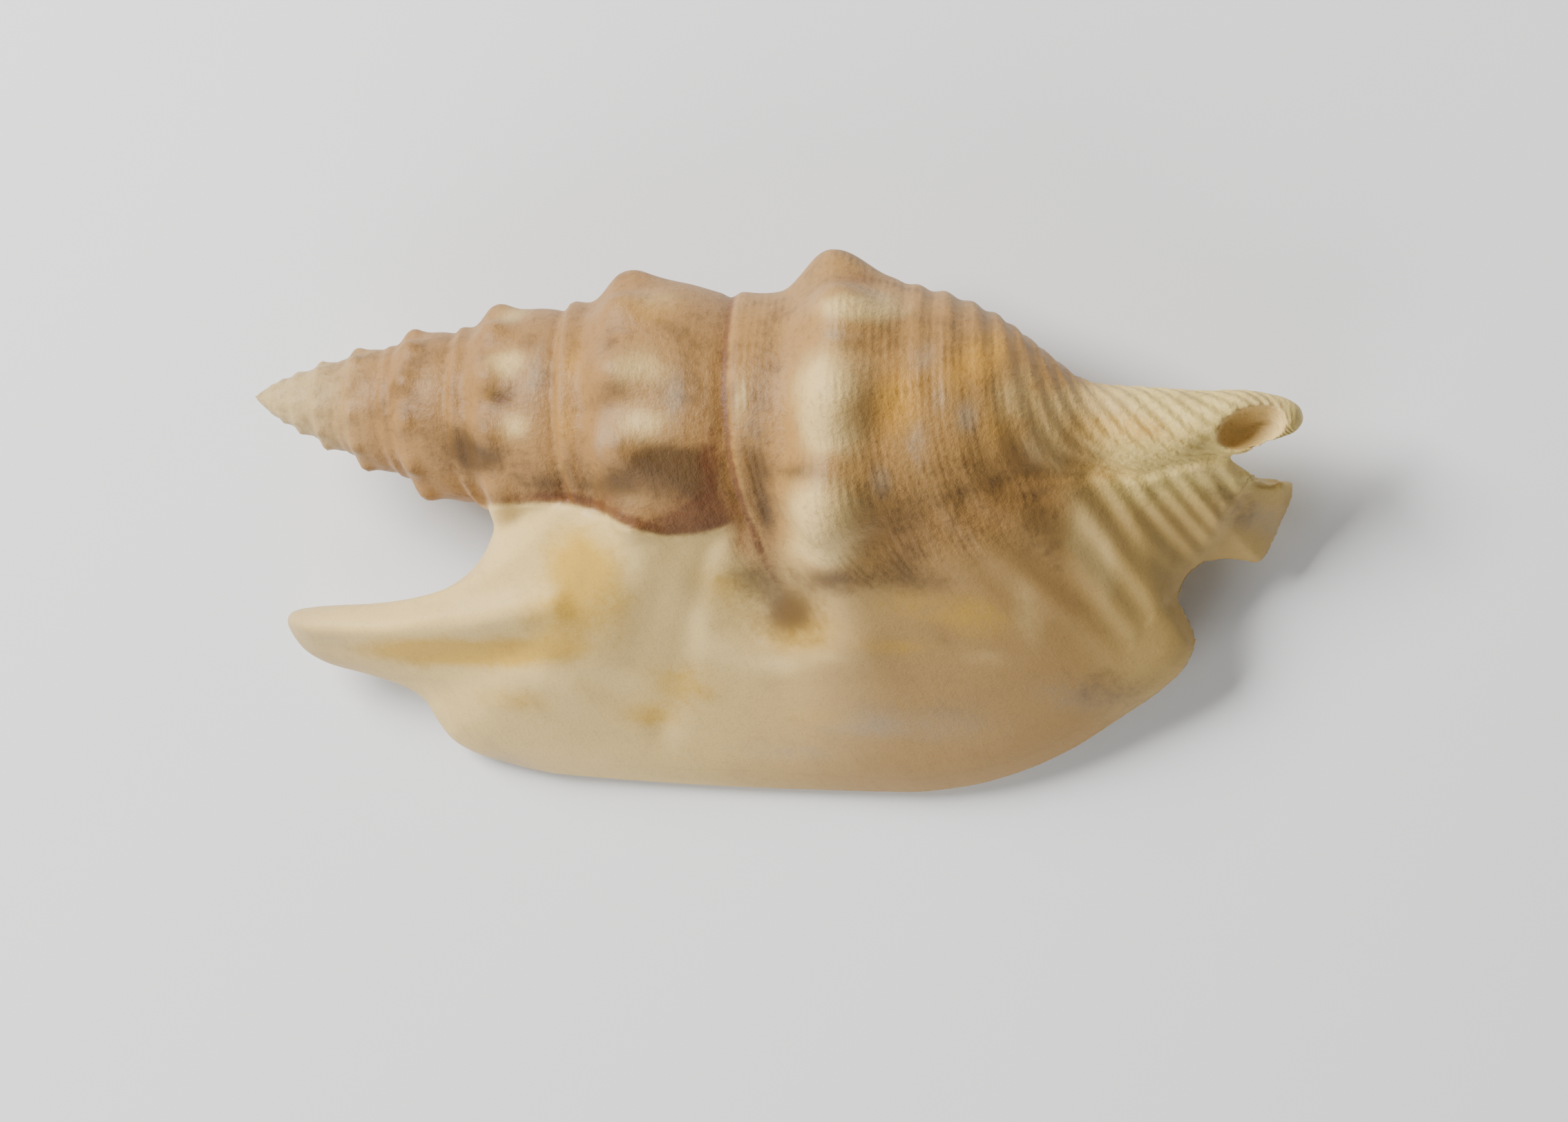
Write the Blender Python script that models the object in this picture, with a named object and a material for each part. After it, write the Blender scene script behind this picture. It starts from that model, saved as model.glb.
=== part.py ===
"""A dextral strombid seashell with a long finger on its outer lip, lying aperture down.

The coiling axis runs along X, with the apex at -X and the canal at +X. The outer lip spreads
to -Y and the back of the shell faces +Z. The whole shell grew as one piece, so it is one solid.

Shell coordinates, in millimetres: s along the axis from the apex, w sideways (+Y) and
h above the axis (+Z). An angle round the axis is 0 on the back, 90 at +Y, -90 at the lip.
"""
import math

import bmesh
import bpy
import numpy as np

MM = 0.001

# Driving dimensions, in millimetres, turns and degrees
LENGTH = 90.0
AXIS_HEIGHT = 11.15
AXIS_SIDE = 8.17
GROWTH = 1.53
SPREAD = 0.755
LAST_SUTURE = 41.0
STEADY_FROM = 61.0
CLOSING_FROM = 84.0
LAG = 0.16
LAG_AT = -60.0
LAG_SHARPNESS = 1.3
NODULE_AT = 32.87
NODULE_RADIUS = 11.76
NODULES_PER_TURN = 11
NODULE_PHASE = 18.0
NODULE_RELIEF = 0.10
NODULE_LEVEL = 0.42
NODULE_REACH = 0.17
SUTURE_DEPTH = 0.35
SUTURE_WIDTH = 0.5
SUTURE_FADE = 1.2
SPIRE_SWELL = 1.045
SIDE_SWELL = 0.02
LIP_SIDE_SWELL = 0.135
HIDDEN_SIDE_SWELL = 0.055

# Where the coil leaves the roof of the last whorl and turns into the inner wall
ROOF_ENDS = -45.0
INNER_WALL_STARTS = -98.0
SEAM_ANGLE = -105.0

# One spire whorl between its sutures, as a share of the radius over the nodules
WHORL = (
    (0.00, 0.81),
    (0.05, 0.86),
    (0.20, 0.81),
    (0.38, 0.90),
    (0.46, 0.90),
    (0.58, 0.885),
    (0.78, 0.865),
    (1.00, 0.80),
)
LAST_WHORL_DROOP = 0.087

# The last whorl from its suture to the tip of the canal at +Y: distance from the apex, radius
BODY = (
    (41.0, 9.94),
    (41.9, 10.5),
    (43.4, 10.4),
    (45.4, 10.5),
    (47.0, 11.2),
    (48.4, 11.7),
    (50.2, 11.9),
    (54.4, 11.8),
    (59.1, 11.1),
    (63.6, 9.5),
    (66.7, 7.5),
    (69.2, 5.65),
    (70.9, 4.5),
    (73.0, 4.05),
    (80.0, 3.9),
    (84.0, 3.3),
    (87.0, 2.3),
    (88.6, 1.7),
    (89.6, 1.05),
    (90.0, 0.0),
)
CANAL_BEND = 1.8
BODY_SHOULDER = 49.7
BODY_GROWTH = 0.23

# Where the row of knobs lies, by the turn after the one at +Y
SHOULDER_PATH = (
    (-0.70, 37.5),
    (-0.46, 40.6),
    (-0.25, 44.4),
    (0.0, 49.4),
    (0.08, 52.4),
    (0.13, 53.3),
    (0.19, 52.6),
)

# Knobs of the last whorl: angle, height, reach towards the apex, the canal and sideways, steepness
KNOBS = (
    (86.0, 2.4, 2.6, 3.9, 3.3, 2.3),
    (45.0, 2.6, 2.8, 3.7, 3.3, 2.4),
    (9.0, 3.0, 3.0, 3.5, 3.4, 2.5),
    (-33.0, 3.4, 3.5, 3.9, 4.0, 2.4),
    (127.0, 1.6, 2.6, 3.5, 3.0, 2.3),
    (164.0, 0.5, 2.6, 3.3, 2.8, 2.3),
)

# How far the canal draws in on the lip's side, above the lip and below it, and on its underside
ROOF_NARROWING = 0.62
WALL_NARROWING = 0.48
UNDER_NARROWING = 0.12

# Spiral cords round the front half of the last whorl: cords passed by a distance at +Y
CORDS_PASSED = ((50.0, -3.1), (56.9, 0.0), (63.6, 3.0), (69.2, 7.0), (72.5, 9.0), (90.0, 19.3))
CORD_RELIEF = 0.19
CORD_LEFT_AT_BACK = 0.35
CORD_SLANT = 0.6
LIP_CORD_SLOPE = 0.45

# The free edge of the outer lip, from the spire round the finger and the notch to the canal
LIP_EDGE = (
    (21.4, -8.4, 1.5),
    (21.6, -9.8, 0.6),
    (20.5, -12.3, -0.5),
    (18.5, -14.2, -1.6),
    (16.0, -15.5, -2.4),
    (12.0, -16.6, -3.2),
    (7.7, -16.9, -3.8),
    (4.3, -17.3, -4.4),
    (2.7, -17.8, -4.8),
    (2.4, -18.5, -5.0),
    (2.8, -19.5, -5.3),
    (3.9, -20.9, -5.8),
    (5.8, -21.9, -6.3),
    (9.2, -22.7, -7.0),
    (12.0, -23.5, -7.6),
    (13.8, -24.6, -8.1),
    (14.8, -26.2, -8.6),
    (16.2, -27.9, -9.2),
    (18.9, -29.1, -9.8),
    (25.9, -30.3, -10.4),
    (40.0, -30.6, -10.6),
    (54.8, -30.4, -10.5),
    (60.0, -29.7, -10.2),
    (64.7, -28.3, -9.7),
    (69.2, -26.2, -9.1),
    (73.4, -23.5, -8.2),
    (77.3, -20.8, -7.2),
    (79.4, -18.7, -6.5),
    (80.1, -17.0, -6.0),
    (79.6, -15.3, -5.5),
    (78.9, -13.8, -5.0),
    (79.1, -12.2, -5.0),
    (80.3, -10.6, -5.2),
    (82.2, -9.9, -5.8),
    (84.9, -10.1, -6.5),
    (85.6, -9.2, -6.4),
    (86.8, -6.6, -6.0),
    (87.8, -3.9, -5.4),
    (87.7, -3.1, -5.1),
    (86.8, -3.6, -4.8),
    (85.3, -3.6, -4.0),
    (85.0, -2.6, -1.8),
    (84.5, -2.3, -0.3),
    (84.2, -1.7, 0.8),
)

# The buried root of the lip and the point its skin bends towards on its way to the edge,
# by the share of the edge's length passed: root s, w and h, then bend s and w. Past the spire
# the root's height follows the coil's back instead.
LIP_ROOT = (
    (0.000, 24.5, -4.2, 3.2, 22.5, -6.5),
    (0.033, 25.5, -4.4, 3.8, 22.8, -9.5),
    (0.075, 27.5, -4.6, 4.6, 23.5, -13.5),
    (0.136, 30.0, -5.0, 5.4, 25.5, -16.0),
    (0.180, 32.0, -5.0, 5.8, 27.5, -18.0),
    (0.220, 34.0, -5.0, 6.4, 28.0, -20.0),
    (0.270, 36.5, -5.0, 7.2, 29.0, -21.0),
    (0.300, 38.2, -5.0, 7.8, 30.0, -20.9),
    (0.340, 40.2, -4.8, 8.4, 31.6, -20.5),
    (0.380, 42.0, -4.6, 9.2, 34.0, -20.0),
    (0.480, 46.0, -4.2, 9.6, 42.5, -18.0),
    (0.586, 54.5, -3.6, 9.2, 54.8, -17.0),
    (0.694, 63.5, -2.8, 6.9, 66.5, -14.5),
    (0.765, 69.5, -2.0, 4.0, 73.5, -11.4),
    (0.800, 72.5, -1.5, 3.2, 76.0, -9.2),
    (0.837, 75.0, -1.2, 3.0, 77.0, -6.8),
    (0.866, 77.0, -1.0, 2.9, 79.5, -5.5),
    (0.900, 79.0, -0.8, 2.7, 82.3, -4.6),
    (0.940, 81.0, -0.6, 2.5, 84.0, -2.4),
    (1.000, 83.0, -0.5, 2.3, 83.6, -1.1),
)

# Along the lip's edge: its thickness, how softly it meets the coil and how domed it is
LIP_THICKNESS = (
    (0.0, 1.6),
    (0.08, 2.4),
    (0.16, 3.4),
    (0.3, 3.4),
    (0.5, 3.6),
    (0.72, 3.2),
    (0.84, 1.8),
    (0.9, 1.3),
    (1.0, 1.2),
)
LIP_FILLET = (
    (0.0, 0.5),
    (0.1, 1.2),
    (0.27, 2.5),
    (0.32, 3.0),
    (0.38, 4.0),
    (0.5, 5.0),
    (0.72, 5.0),
    (0.85, 3.0),
    (1.0, 2.0),
)
LIP_DOME = (
    (0.0, 1.7),
    (0.22, 1.6),
    (0.45, 1.25),
    (0.5, 1.25),
    (0.6, 1.4),
    (0.72, 1.45),
    (0.8, 1.45),
    (1.0, 1.5),
)
LIP_SINK = 0.12
ROOT_SINK = 0.8
SIDE_ANGLE = 55.0
RIM_ROUNDING = 0.75
COLUMNS_CROWDING = 1.6

# Where the lip comes out of the coil's back, as s and w, and how far it stands over the spire there
LAP_LINE = (
    (20.0, -8.3),
    (23.0, -8.1),
    (29.0, -7.6),
    (33.0, -8.3),
    (36.2, -9.5),
    (38.4, -9.9),
    (41.0, -9.6),
    (46.0, -8.0),
    (52.0, -7.0),
    (60.0, -6.0),
    (66.0, -4.4),
    (72.0, -2.3),
    (78.0, -1.8),
    (84.0, -1.0),
)
LAP_ON_SPIRE = 0.45
LAP_ON_BODY = 0.10
LAP_RISE_ON_SPIRE = 0.6
LAP_RISE_ON_BODY = 3.0
LAP_CORDS_KEPT = 0.75
KNOB_FILLET = 0.4

# The coil's back as the lip follows it: where its grid starts, reach, step and steepest flank
BACK_FROM = 14.0
BACK_REACH = 32.0
BACK_STEP = 0.25
EASED_SLOPE = 1.5
EASED_TIMES = 90

# Low forms on the lip: points (s, w) of a crest, half width, height
LIP_FORMS = (
    (((3.5, -18.2), (9.7, -18.6), (14.8, -18.4), (21.0, -17.8), (28.0, -16.4)), 1.6, 1.1),
    (((7.0, -21.4), (12.0, -21.6), (18.0, -20.9), (24.0, -20.0), (29.0, -21.4), (35.0, -25.4)), 1.5, -0.5),
    (((26.6, -22.7), (33.4, -25.7)), 1.6, 0.35),
    (((38.6, -13.1), (39.3, -15.9), (41.4, -18.4), (44.5, -19.9), (49.9, -19.4), (54.0, -18.4)), 2.0, 0.45),
    (((46.5, -13.6), (50.5, -14.4)), 3.2, -1.0),
)
LIP_FORMS_BELOW = 0.4

# The step down to the plate beside the canal, and the hollow in the canal's end
STEP_LINE = ((85.2, -3.7), (81.4, -9.2))
STEP_DROP = 1.1
STEP_WIDTH = 0.35
HOLLOW_CENTRE = (86.2, 0.95, 2.5)
HOLLOW_RADII = (2.9, 1.7, 2.5)
HOLLOW_TURN = 22.0

# Fineness of the sheets before they are thinned, and the share of the triangles kept
COIL_WHORLS = 12.25
COIL_BURIED = 8.5
COIL_ROWS_PER_WHORL = 56
COIL_COLUMNS = 120
APEX_CAP = 1.5
CANAL_CAP = 0.02
LIP_ROWS = 200
LIP_COLUMNS = 90
KEPT = 0.053


def smooth(low, high, x):
    """Rises softly from 0 at low to 1 at high."""
    share = np.clip((x - low) / (high - low), 0.0, 1.0)
    return share * share * (3.0 - 2.0 * share)


def through(points, x, column=1):
    """A smooth curve through points sorted by their first value, with no overshoot."""
    table = np.array(points, float)
    xs = table[:, 0]
    ys = table[:, column]
    gap = np.diff(xs)
    rise = np.diff(ys) / gap
    slope = np.zeros(len(xs))
    same_way = rise[:-1] * rise[1:] > 0
    mean = 2.0 * rise[:-1] * rise[1:] / np.where(same_way, rise[:-1] + rise[1:], 1.0)
    slope[1:-1] = np.where(same_way, mean, 0.0)
    slope[0] = rise[0]
    slope[-1] = rise[-1]
    x = np.clip(x, xs[0], xs[-1])
    cell = np.clip(np.searchsorted(xs, x, side="right") - 1, 0, len(gap) - 1)
    width = gap[cell]
    part = (x - xs[cell]) / width
    start = ys[cell] + width * part * (1.0 - part) ** 2 * slope[cell]
    bend = part * part * (3.0 - 2.0 * part) * (ys[cell + 1] - ys[cell])
    return start + bend + width * part * part * (part - 1.0) * slope[cell + 1]


def turn_at(angle):
    """Growth in turns after the one at +Y, for an angle round the axis; the lip's side lags."""
    side = 0.5 + 0.5 * np.cos(np.radians(angle - LAG_AT))
    return (90.0 - angle) / 360.0 - LAG * side**LAG_SHARPNESS


def distance_at(level):
    """Distance from the apex of a growth line, by its level in turns past the last suture."""
    pitch = STEADY_FROM * math.log(GROWTH)
    steady = math.log(STEADY_FROM / LAST_SUTURE) / math.log(GROWTH)
    closing = steady + (CLOSING_FROM - STEADY_FROM) / pitch
    rest = LENGTH - CLOSING_FROM
    spiral = LAST_SUTURE * GROWTH ** np.minimum(level, steady)
    straight = pitch * np.clip(level - steady, 0.0, closing - steady)
    return spiral + straight + rest * (1.0 - np.exp(-pitch * np.maximum(0.0, level - closing) / rest))


def level_at(s):
    """Growth level of a distance from the apex: the reverse of distance_at."""
    pitch = STEADY_FROM * math.log(GROWTH)
    rest = LENGTH - CLOSING_FROM
    s = np.clip(s, 1e-4, LENGTH - 1e-4)
    spiral = np.log(np.minimum(s, STEADY_FROM) / LAST_SUTURE) / math.log(GROWTH)
    straight = np.clip(s - STEADY_FROM, 0.0, CLOSING_FROM - STEADY_FROM) / pitch
    return spiral + straight - rest / pitch * np.log((LENGTH - np.maximum(s, CLOSING_FROM)) / rest)


def spire_radius(s, angle):
    """Radius of the coiled whorls over the apex end."""
    s = np.maximum(s, 1e-4)
    whorl = np.log(s / LAST_SUTURE) / math.log(GROWTH) - turn_at(angle)
    part = whorl - np.floor(whorl)
    over_nodules = NODULE_RADIUS * (s / NODULE_AT) ** SPREAD
    share = through(WHORL, part)
    share = share - LAST_WHORL_DROOP * smooth(0.55, 1.0, part) * (whorl > -1.0)
    row = np.exp(-(((part - NODULE_LEVEL) / NODULE_REACH) ** 2))
    beat = 0.5 + 0.5 * np.cos(np.radians(NODULES_PER_TURN * (angle - NODULE_PHASE)))
    share = share + NODULE_RELIEF * row * beat
    width = SUTURE_WIDTH * s / LAST_SUTURE
    to_suture = np.minimum(part, 1.0 - part) * s * math.log(GROWTH)
    groove = SUTURE_DEPTH * (s / LAST_SUTURE) * np.exp(-((to_suture / width) ** 2))
    upward = np.sin(np.radians(angle))
    lip_side = LIP_SIDE_SWELL + (HIDDEN_SIDE_SWELL - LIP_SIDE_SWELL) * smooth(25.0, 33.0, s)
    swell = SPIRE_SWELL - SIDE_SWELL * upward + lip_side * np.maximum(0.0, -upward) ** 2
    return (over_nodules * share - groove) * swell


def knob_height(s, angle, shoulder):
    """Height of the big knobs that stand on the last whorl's shoulder."""
    total = np.zeros(np.broadcast(s, angle).shape)
    for centre, height, behind, ahead, aside, steepness in KNOBS:
        along = s - shoulder
        reach = np.where(along < 0.0, behind, ahead)
        turned = (angle - centre + 180.0) % 360.0 - 180.0
        across = np.radians(turned) * NODULE_RADIUS
        distance = np.sqrt((along / reach) ** 2 + (across / aside) ** 2)
        total = total + height * np.exp(-(distance**steepness))
    return total


def body_radius(s, angle, turn):
    """Radius of the last whorl and the canal, at a growth given by its turn."""
    suture = LAST_SUTURE * GROWTH**turn
    shoulder = through(SHOULDER_PATH, turn)
    behind = BODY[0][0] + (s - suture) / (shoulder - suture) * (BODY_SHOULDER - BODY[0][0])
    ahead = LENGTH - (LENGTH - s) / (LENGTH - shoulder) * (LENGTH - BODY_SHOULDER)
    level = np.where(s < shoulder, behind, ahead)
    size = 1.0 + BODY_GROWTH * turn * (1.0 - smooth(62.0, 72.0, s))
    lip_side = np.maximum(0.0, -np.sin(np.radians(angle)))
    roof = ROOF_NARROWING * smooth(76.0, 84.0, s) * smooth(86.0, 82.0, s)
    wall = WALL_NARROWING * smooth(58.0, 74.0, s)
    narrowing = np.where(turn > 0.0, roof, wall)
    size = size * (1.0 - narrowing * lip_side)
    under_side = np.maximum(0.0, -np.cos(np.radians(angle)))
    size = size * (1.0 - UNDER_NARROWING * smooth(62.0, 74.0, s) * under_side)
    radius = through(BODY, level) * size
    start = np.where(s < suture, 0.0, s - suture)
    step = spire_radius(suture * (1.0 - 1e-5), angle) - BODY[0][1] * size
    return radius + step * np.exp(-start / SUTURE_FADE)


def cord_height(level_distance):
    """Height of the spiral cords, by the distance at which their growth line meets +Y."""
    window = smooth(53.0, 58.0, level_distance) * (1.0 - 0.25 * smooth(70.0, 74.0, level_distance))
    window = window * smooth(88.5, 84.0, level_distance)
    return CORD_RELIEF * window * np.cos(2.0 * math.pi * through(CORDS_PASSED, level_distance))


def cord_start(s, angle):
    """Distance at which a cord meets +Y, by a point it runs through; it slants more on the canal."""
    slant = CORD_SLANT * smooth(57.0, 86.0, s)
    return distance_at(level_at(s) - turn_at(angle) - slant * (90.0 - angle) / 360.0)


def cord_share(s, angle):
    """How strong the cords are: full at +Y and round the canal, weaker on the back."""
    full = np.maximum(smooth(60.0, 72.0, s), np.sin(np.radians(angle)))
    return CORD_LEFT_AT_BACK + (1.0 - CORD_LEFT_AT_BACK) * full


def layer_radius(s, angle, turn, corded):
    """One layer of the coil: spire before the suture, last whorl after it."""
    cords = cord_height(cord_start(s, angle)) * cord_share(s, angle)
    body = body_radius(s, angle, turn) + corded * cords
    return np.where(s < LAST_SUTURE * GROWTH**turn, spire_radius(s, angle), body)


def coil_radius(s, angle, corded=1.0):
    """Radius of the whole coil: the roof layer on the back, the inner wall below the lip."""
    s = np.asarray(s, float)
    roof_turn = turn_at(angle)
    roof = layer_radius(s, angle, roof_turn, corded)
    wall = layer_radius(s, angle, roof_turn - 1.0, 0.0)
    share = smooth(ROOF_ENDS, INNER_WALL_STARTS, angle)
    shoulder = through(SHOULDER_PATH, roof_turn)
    return (1.0 - share) * roof + share * wall + knob_height(s, angle, shoulder)


def canal_bend(s):
    """How far the canal's end bends away from the lip."""
    return CANAL_BEND * smooth(80.0, 89.0, s)


def coil_back(s, w):
    """Height of the coil's back over the axis without its cords, and the height of its cords.

    Past SIDE_ANGLE the back runs straight down its slope, and the cords run on slanting.
    """
    w = w - canal_bend(s)
    angle = np.zeros(np.broadcast(s, w).shape)
    for _ in range(14):
        radius = coil_radius(s, angle, 0.0)
        angle = 0.5 * angle + 0.5 * np.degrees(np.arcsin(np.clip(w / radius, -0.999, 0.999)))
    steep = math.radians(SIDE_ANGLE)
    angle = np.clip(angle, -SIDE_ANGLE, SIDE_ANGLE)
    radius = coil_radius(s, angle, 0.0)
    round_part = np.sqrt(np.maximum(radius**2 - w**2, (radius * math.cos(steep)) ** 2))
    beyond = np.maximum(0.0, np.abs(w) - radius * math.sin(steep))
    started = cord_start(s, angle) - LIP_CORD_SLOPE * beyond
    cords = cord_height(started) * cord_share(s, angle) / np.maximum(0.8, np.cos(np.radians(angle)))
    return round_part - math.tan(steep) * beyond, cords


def back_layers():
    """The coil's back, the same with its steep flanks eased, and its cords, on an even grid."""
    s, w = np.meshgrid(
        np.arange(BACK_FROM, LENGTH, BACK_STEP), -np.arange(0.0, BACK_REACH, BACK_STEP), indexing="ij"
    )
    back, cords = coil_back(s, w)
    eased = back.copy()
    for column in range(1, w.shape[1]):
        eased[:, column] = np.maximum(back[:, column], eased[:, column - 1] - EASED_SLOPE * BACK_STEP)
    on_body = smooth(42.0, 46.0, s)
    for _ in range(EASED_TIMES):
        padded = np.pad(eased, 1, mode="edge")
        around = padded[:-2, 1:-1] + padded[2:, 1:-1] + padded[1:-1, :-2] + padded[1:-1, 2:]
        eased = eased + on_body * (0.125 * around - 0.5 * eased)
    return back, eased, cords


def on_back(layer, s, w):
    """Value of one layer of the back at (s, w), between its grid points."""
    row = np.clip((s - BACK_FROM) / BACK_STEP, 0.0, layer.shape[0] - 1.001)
    column = np.clip(-w / BACK_STEP, 0.0, layer.shape[1] - 1.001)
    i = row.astype(int)
    j = column.astype(int)
    ahead = row - i
    aside = column - j
    near = layer[i, j] * (1.0 - ahead) + layer[i + 1, j] * ahead
    far = layer[i, j + 1] * (1.0 - ahead) + layer[i + 1, j + 1] * ahead
    return near * (1.0 - aside) + far * aside


def near_line(points, s, w):
    """Distance from (s, w) to a chain of points."""
    nearest = np.full(np.broadcast(s, w).shape, np.inf)
    for (s0, w0), (s1, w1) in zip(points[:-1], points[1:]):
        along = s1 - s0
        across = w1 - w0
        share = ((s - s0) * along + (w - w0) * across) / (along * along + across * across)
        share = np.clip(share, 0.0, 1.0)
        nearest = np.minimum(nearest, np.hypot(s - s0 - share * along, w - w0 - share * across))
    return nearest


def lip_edge(share):
    """Point (s, w, h) of the lip's free edge, by the share of its length."""
    points = np.array(LIP_EDGE)
    passed = np.concatenate([[0.0], np.cumsum(np.linalg.norm(np.diff(points, axis=0), axis=1))])
    table = np.column_stack([passed / passed[-1], points])
    return [through(table, share, column) for column in (1, 2, 3)]


BACK, EASED_BACK, BACK_CORDS = back_layers()


def lip_surface(out, share, side):
    """Point of the lip's skin: out from root (0) to edge (1), side +1 above and -1 below."""
    edge_s, edge_w, edge_h = lip_edge(share)
    root_s, root_w, root_h, bend_s, bend_w = [through(LIP_ROOT, share, column) for column in range(1, 6)]
    s = root_s * (1.0 - out) ** 2 + 2.0 * bend_s * out * (1.0 - out) + edge_s * out**2
    w = root_w * (1.0 - out) ** 2 + 2.0 * bend_w * out * (1.0 - out) + edge_w * out**2
    on_coil = smooth(0.30, 0.40, share)
    thick = through(LIP_THICKNESS, share)
    root_back = on_back(BACK, root_s, root_w)
    root_h = root_h + on_coil * (root_back - 0.5 * thick - ROOT_SINK - root_h)
    middle = edge_h + (root_h - edge_h) * (1.0 - out ** through(LIP_DOME, share))
    outline = [(point[0], point[1]) for point in zip(*lip_edge(np.linspace(0.0, 1.0, 220)))]
    inside = np.clip(near_line(outline, s, w) / (RIM_ROUNDING * thick), 0.0, 1.0)
    half = 0.5 * thick * np.sqrt(1.0 - (1.0 - inside) ** 2)
    away = smooth(0.0, 1.0, inside)
    forms = np.zeros(s.shape)
    for points, reach, height in LIP_FORMS:
        forms = forms + away * height * np.exp(-((near_line(points, s, w) / reach) ** 2))
    (s0, w0), (s1, w1) = STEP_LINE
    past = ((s - s0) * (w0 - w1) + (w - w0) * (s1 - s0)) / math.hypot(s1 - s0, w1 - w0)
    middle = middle - STEP_DROP * smooth(-STEP_WIDTH, STEP_WIDTH, past) * (share > 0.8)
    below = middle - half + LIP_FORMS_BELOW * forms
    back = on_back(BACK, s, w)
    cords = on_back(BACK_CORDS, s, w)
    top = middle + half + forms
    round_side = np.abs(w) / coil_radius(s, np.full(s.shape, -SIDE_ANGLE), 0.0)
    flank = np.full(s.shape, -SIDE_ANGLE)
    knob = knob_height(s, flank, through(SHOULDER_PATH, turn_at(flank)))
    softened = np.maximum(smooth(0.75, 1.1, round_side), KNOB_FILLET * smooth(0.1, 0.8, knob))
    fillet = through(LIP_FILLET, share) * (0.05 + 0.95 * softened)
    on_spire = smooth(43.0, 39.0, s)
    lapped = on_back(EASED_BACK, s, w) + LAP_ON_BODY + (LAP_ON_SPIRE - LAP_ON_BODY) * on_spire
    blend = np.clip(1.0 - np.abs(lapped - top) / fillet, 0.0, 1.0)
    joined = np.maximum(top, lapped) + 0.25 * fillet * blend * blend
    joined = top + (joined - top) * smooth(0.0, 0.25, inside)
    hidden = np.minimum(joined, back - LIP_SINK)
    rise = LAP_RISE_ON_BODY + (LAP_RISE_ON_SPIRE - LAP_RISE_ON_BODY) * on_spire
    past_lap = through(LAP_LINE, s) - w
    joined = hidden + (joined - hidden) * smooth(-0.5 * rise, 0.5 * rise, past_lap)
    kept = 1.0 - (1.0 - LAP_CORDS_KEPT) * smooth(1.0, 6.0, past_lap)
    joined = joined + kept * away * smooth(-21.0, -12.0, w) * cords
    return s, w, np.where(side > 0, joined, below)


def sheet(name, rows, columns, place):
    """A grid whose points are put in place by a function, sewn where its edges meet."""
    mesh = bmesh.new()
    bmesh.ops.create_grid(mesh, x_segments=rows, y_segments=columns, size=0.5)
    points = np.array([vertex.co[:] for vertex in mesh.verts])
    s, w, h = place(points[:, 0] + 0.5, points[:, 1] + 0.5)
    for vertex, x, y, z in zip(mesh.verts, s, w, h):
        vertex.co = ((x - 0.5 * LENGTH) * MM, (y + AXIS_SIDE) * MM, (z + AXIS_HEIGHT) * MM)
    bmesh.ops.remove_doubles(mesh, verts=mesh.verts, dist=1e-7)
    open_edges = [edge for edge in mesh.edges if edge.is_boundary]
    bmesh.ops.holes_fill(mesh, edges=open_edges, sides=0)
    bmesh.ops.triangulate(mesh, faces=mesh.faces)
    bmesh.ops.recalc_face_normals(mesh, faces=mesh.faces)
    data = bpy.data.meshes.new(name)
    mesh.to_mesh(data)
    mesh.free()
    return bpy.data.objects.new(name, data)


def coil_place(along, around):
    """Coil point: rows wind as a spiral, so that sutures and cords run along them."""
    angle = SEAM_ANGLE + 360.0 * around
    s = distance_at(COIL_WHORLS * along - COIL_BURIED + turn_at(angle))
    s = np.clip(s, APEX_CAP, LENGTH - CANAL_CAP)
    s = np.where(along < 1e-6, 0.0, np.where(along > 1.0 - 1e-6, LENGTH, s))
    angle = np.where(around > 1.0 - 1e-6, SEAM_ANGLE, angle)
    radius = np.where((s <= 0.0) | (s >= LENGTH), 0.0, coil_radius(s, angle))
    return s, radius * np.sin(np.radians(angle)) + canal_bend(s), radius * np.cos(np.radians(angle))


def lip_place(along, around):
    """Lip point for shares of the edge's length and of the way round the section."""
    side = np.where(around < 0.5, 1.0, -1.0)
    way = np.where(around < 0.5, around / 0.5, (1.0 - around) / 0.5)
    out = 1.0 - (1.0 - way) ** COLUMNS_CROWDING
    s, w, h = lip_surface(out, along, side)
    closing = around > 1.0 - 1e-6
    top_s, top_w, top_h = lip_surface(np.zeros_like(out), along, np.ones_like(out))
    return np.where(closing, top_s, s), np.where(closing, top_w, w), np.where(closing, top_h, h)


def shell_material():
    """Cream shell, satin."""
    material = bpy.data.materials.new("shell_cream")
    material.use_nodes = True
    shader = material.node_tree.nodes["Principled BSDF"]
    shader.inputs["Base Color"].default_value = (0.62, 0.47, 0.30, 1.0)
    shader.inputs["Roughness"].default_value = 0.5
    shader.inputs["Metallic"].default_value = 0.0
    return material


def hollow_cutter():
    """The spoon-shaped hollow in the end of the canal."""
    mesh = bmesh.new()
    bmesh.ops.create_uvsphere(mesh, u_segments=28, v_segments=18, radius=MM)
    data = bpy.data.meshes.new("canal_hollow")
    bmesh.ops.scale(mesh, verts=mesh.verts, vec=HOLLOW_RADII)
    mesh.to_mesh(data)
    mesh.free()
    cutter = bpy.data.objects.new("canal_hollow", data)
    s, w, h = HOLLOW_CENTRE
    cutter.location = ((s - 0.5 * LENGTH) * MM, (w + AXIS_SIDE) * MM, (h + AXIS_HEIGHT) * MM)
    cutter.rotation_euler = (0.0, 0.0, math.radians(HOLLOW_TURN))
    return cutter


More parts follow.
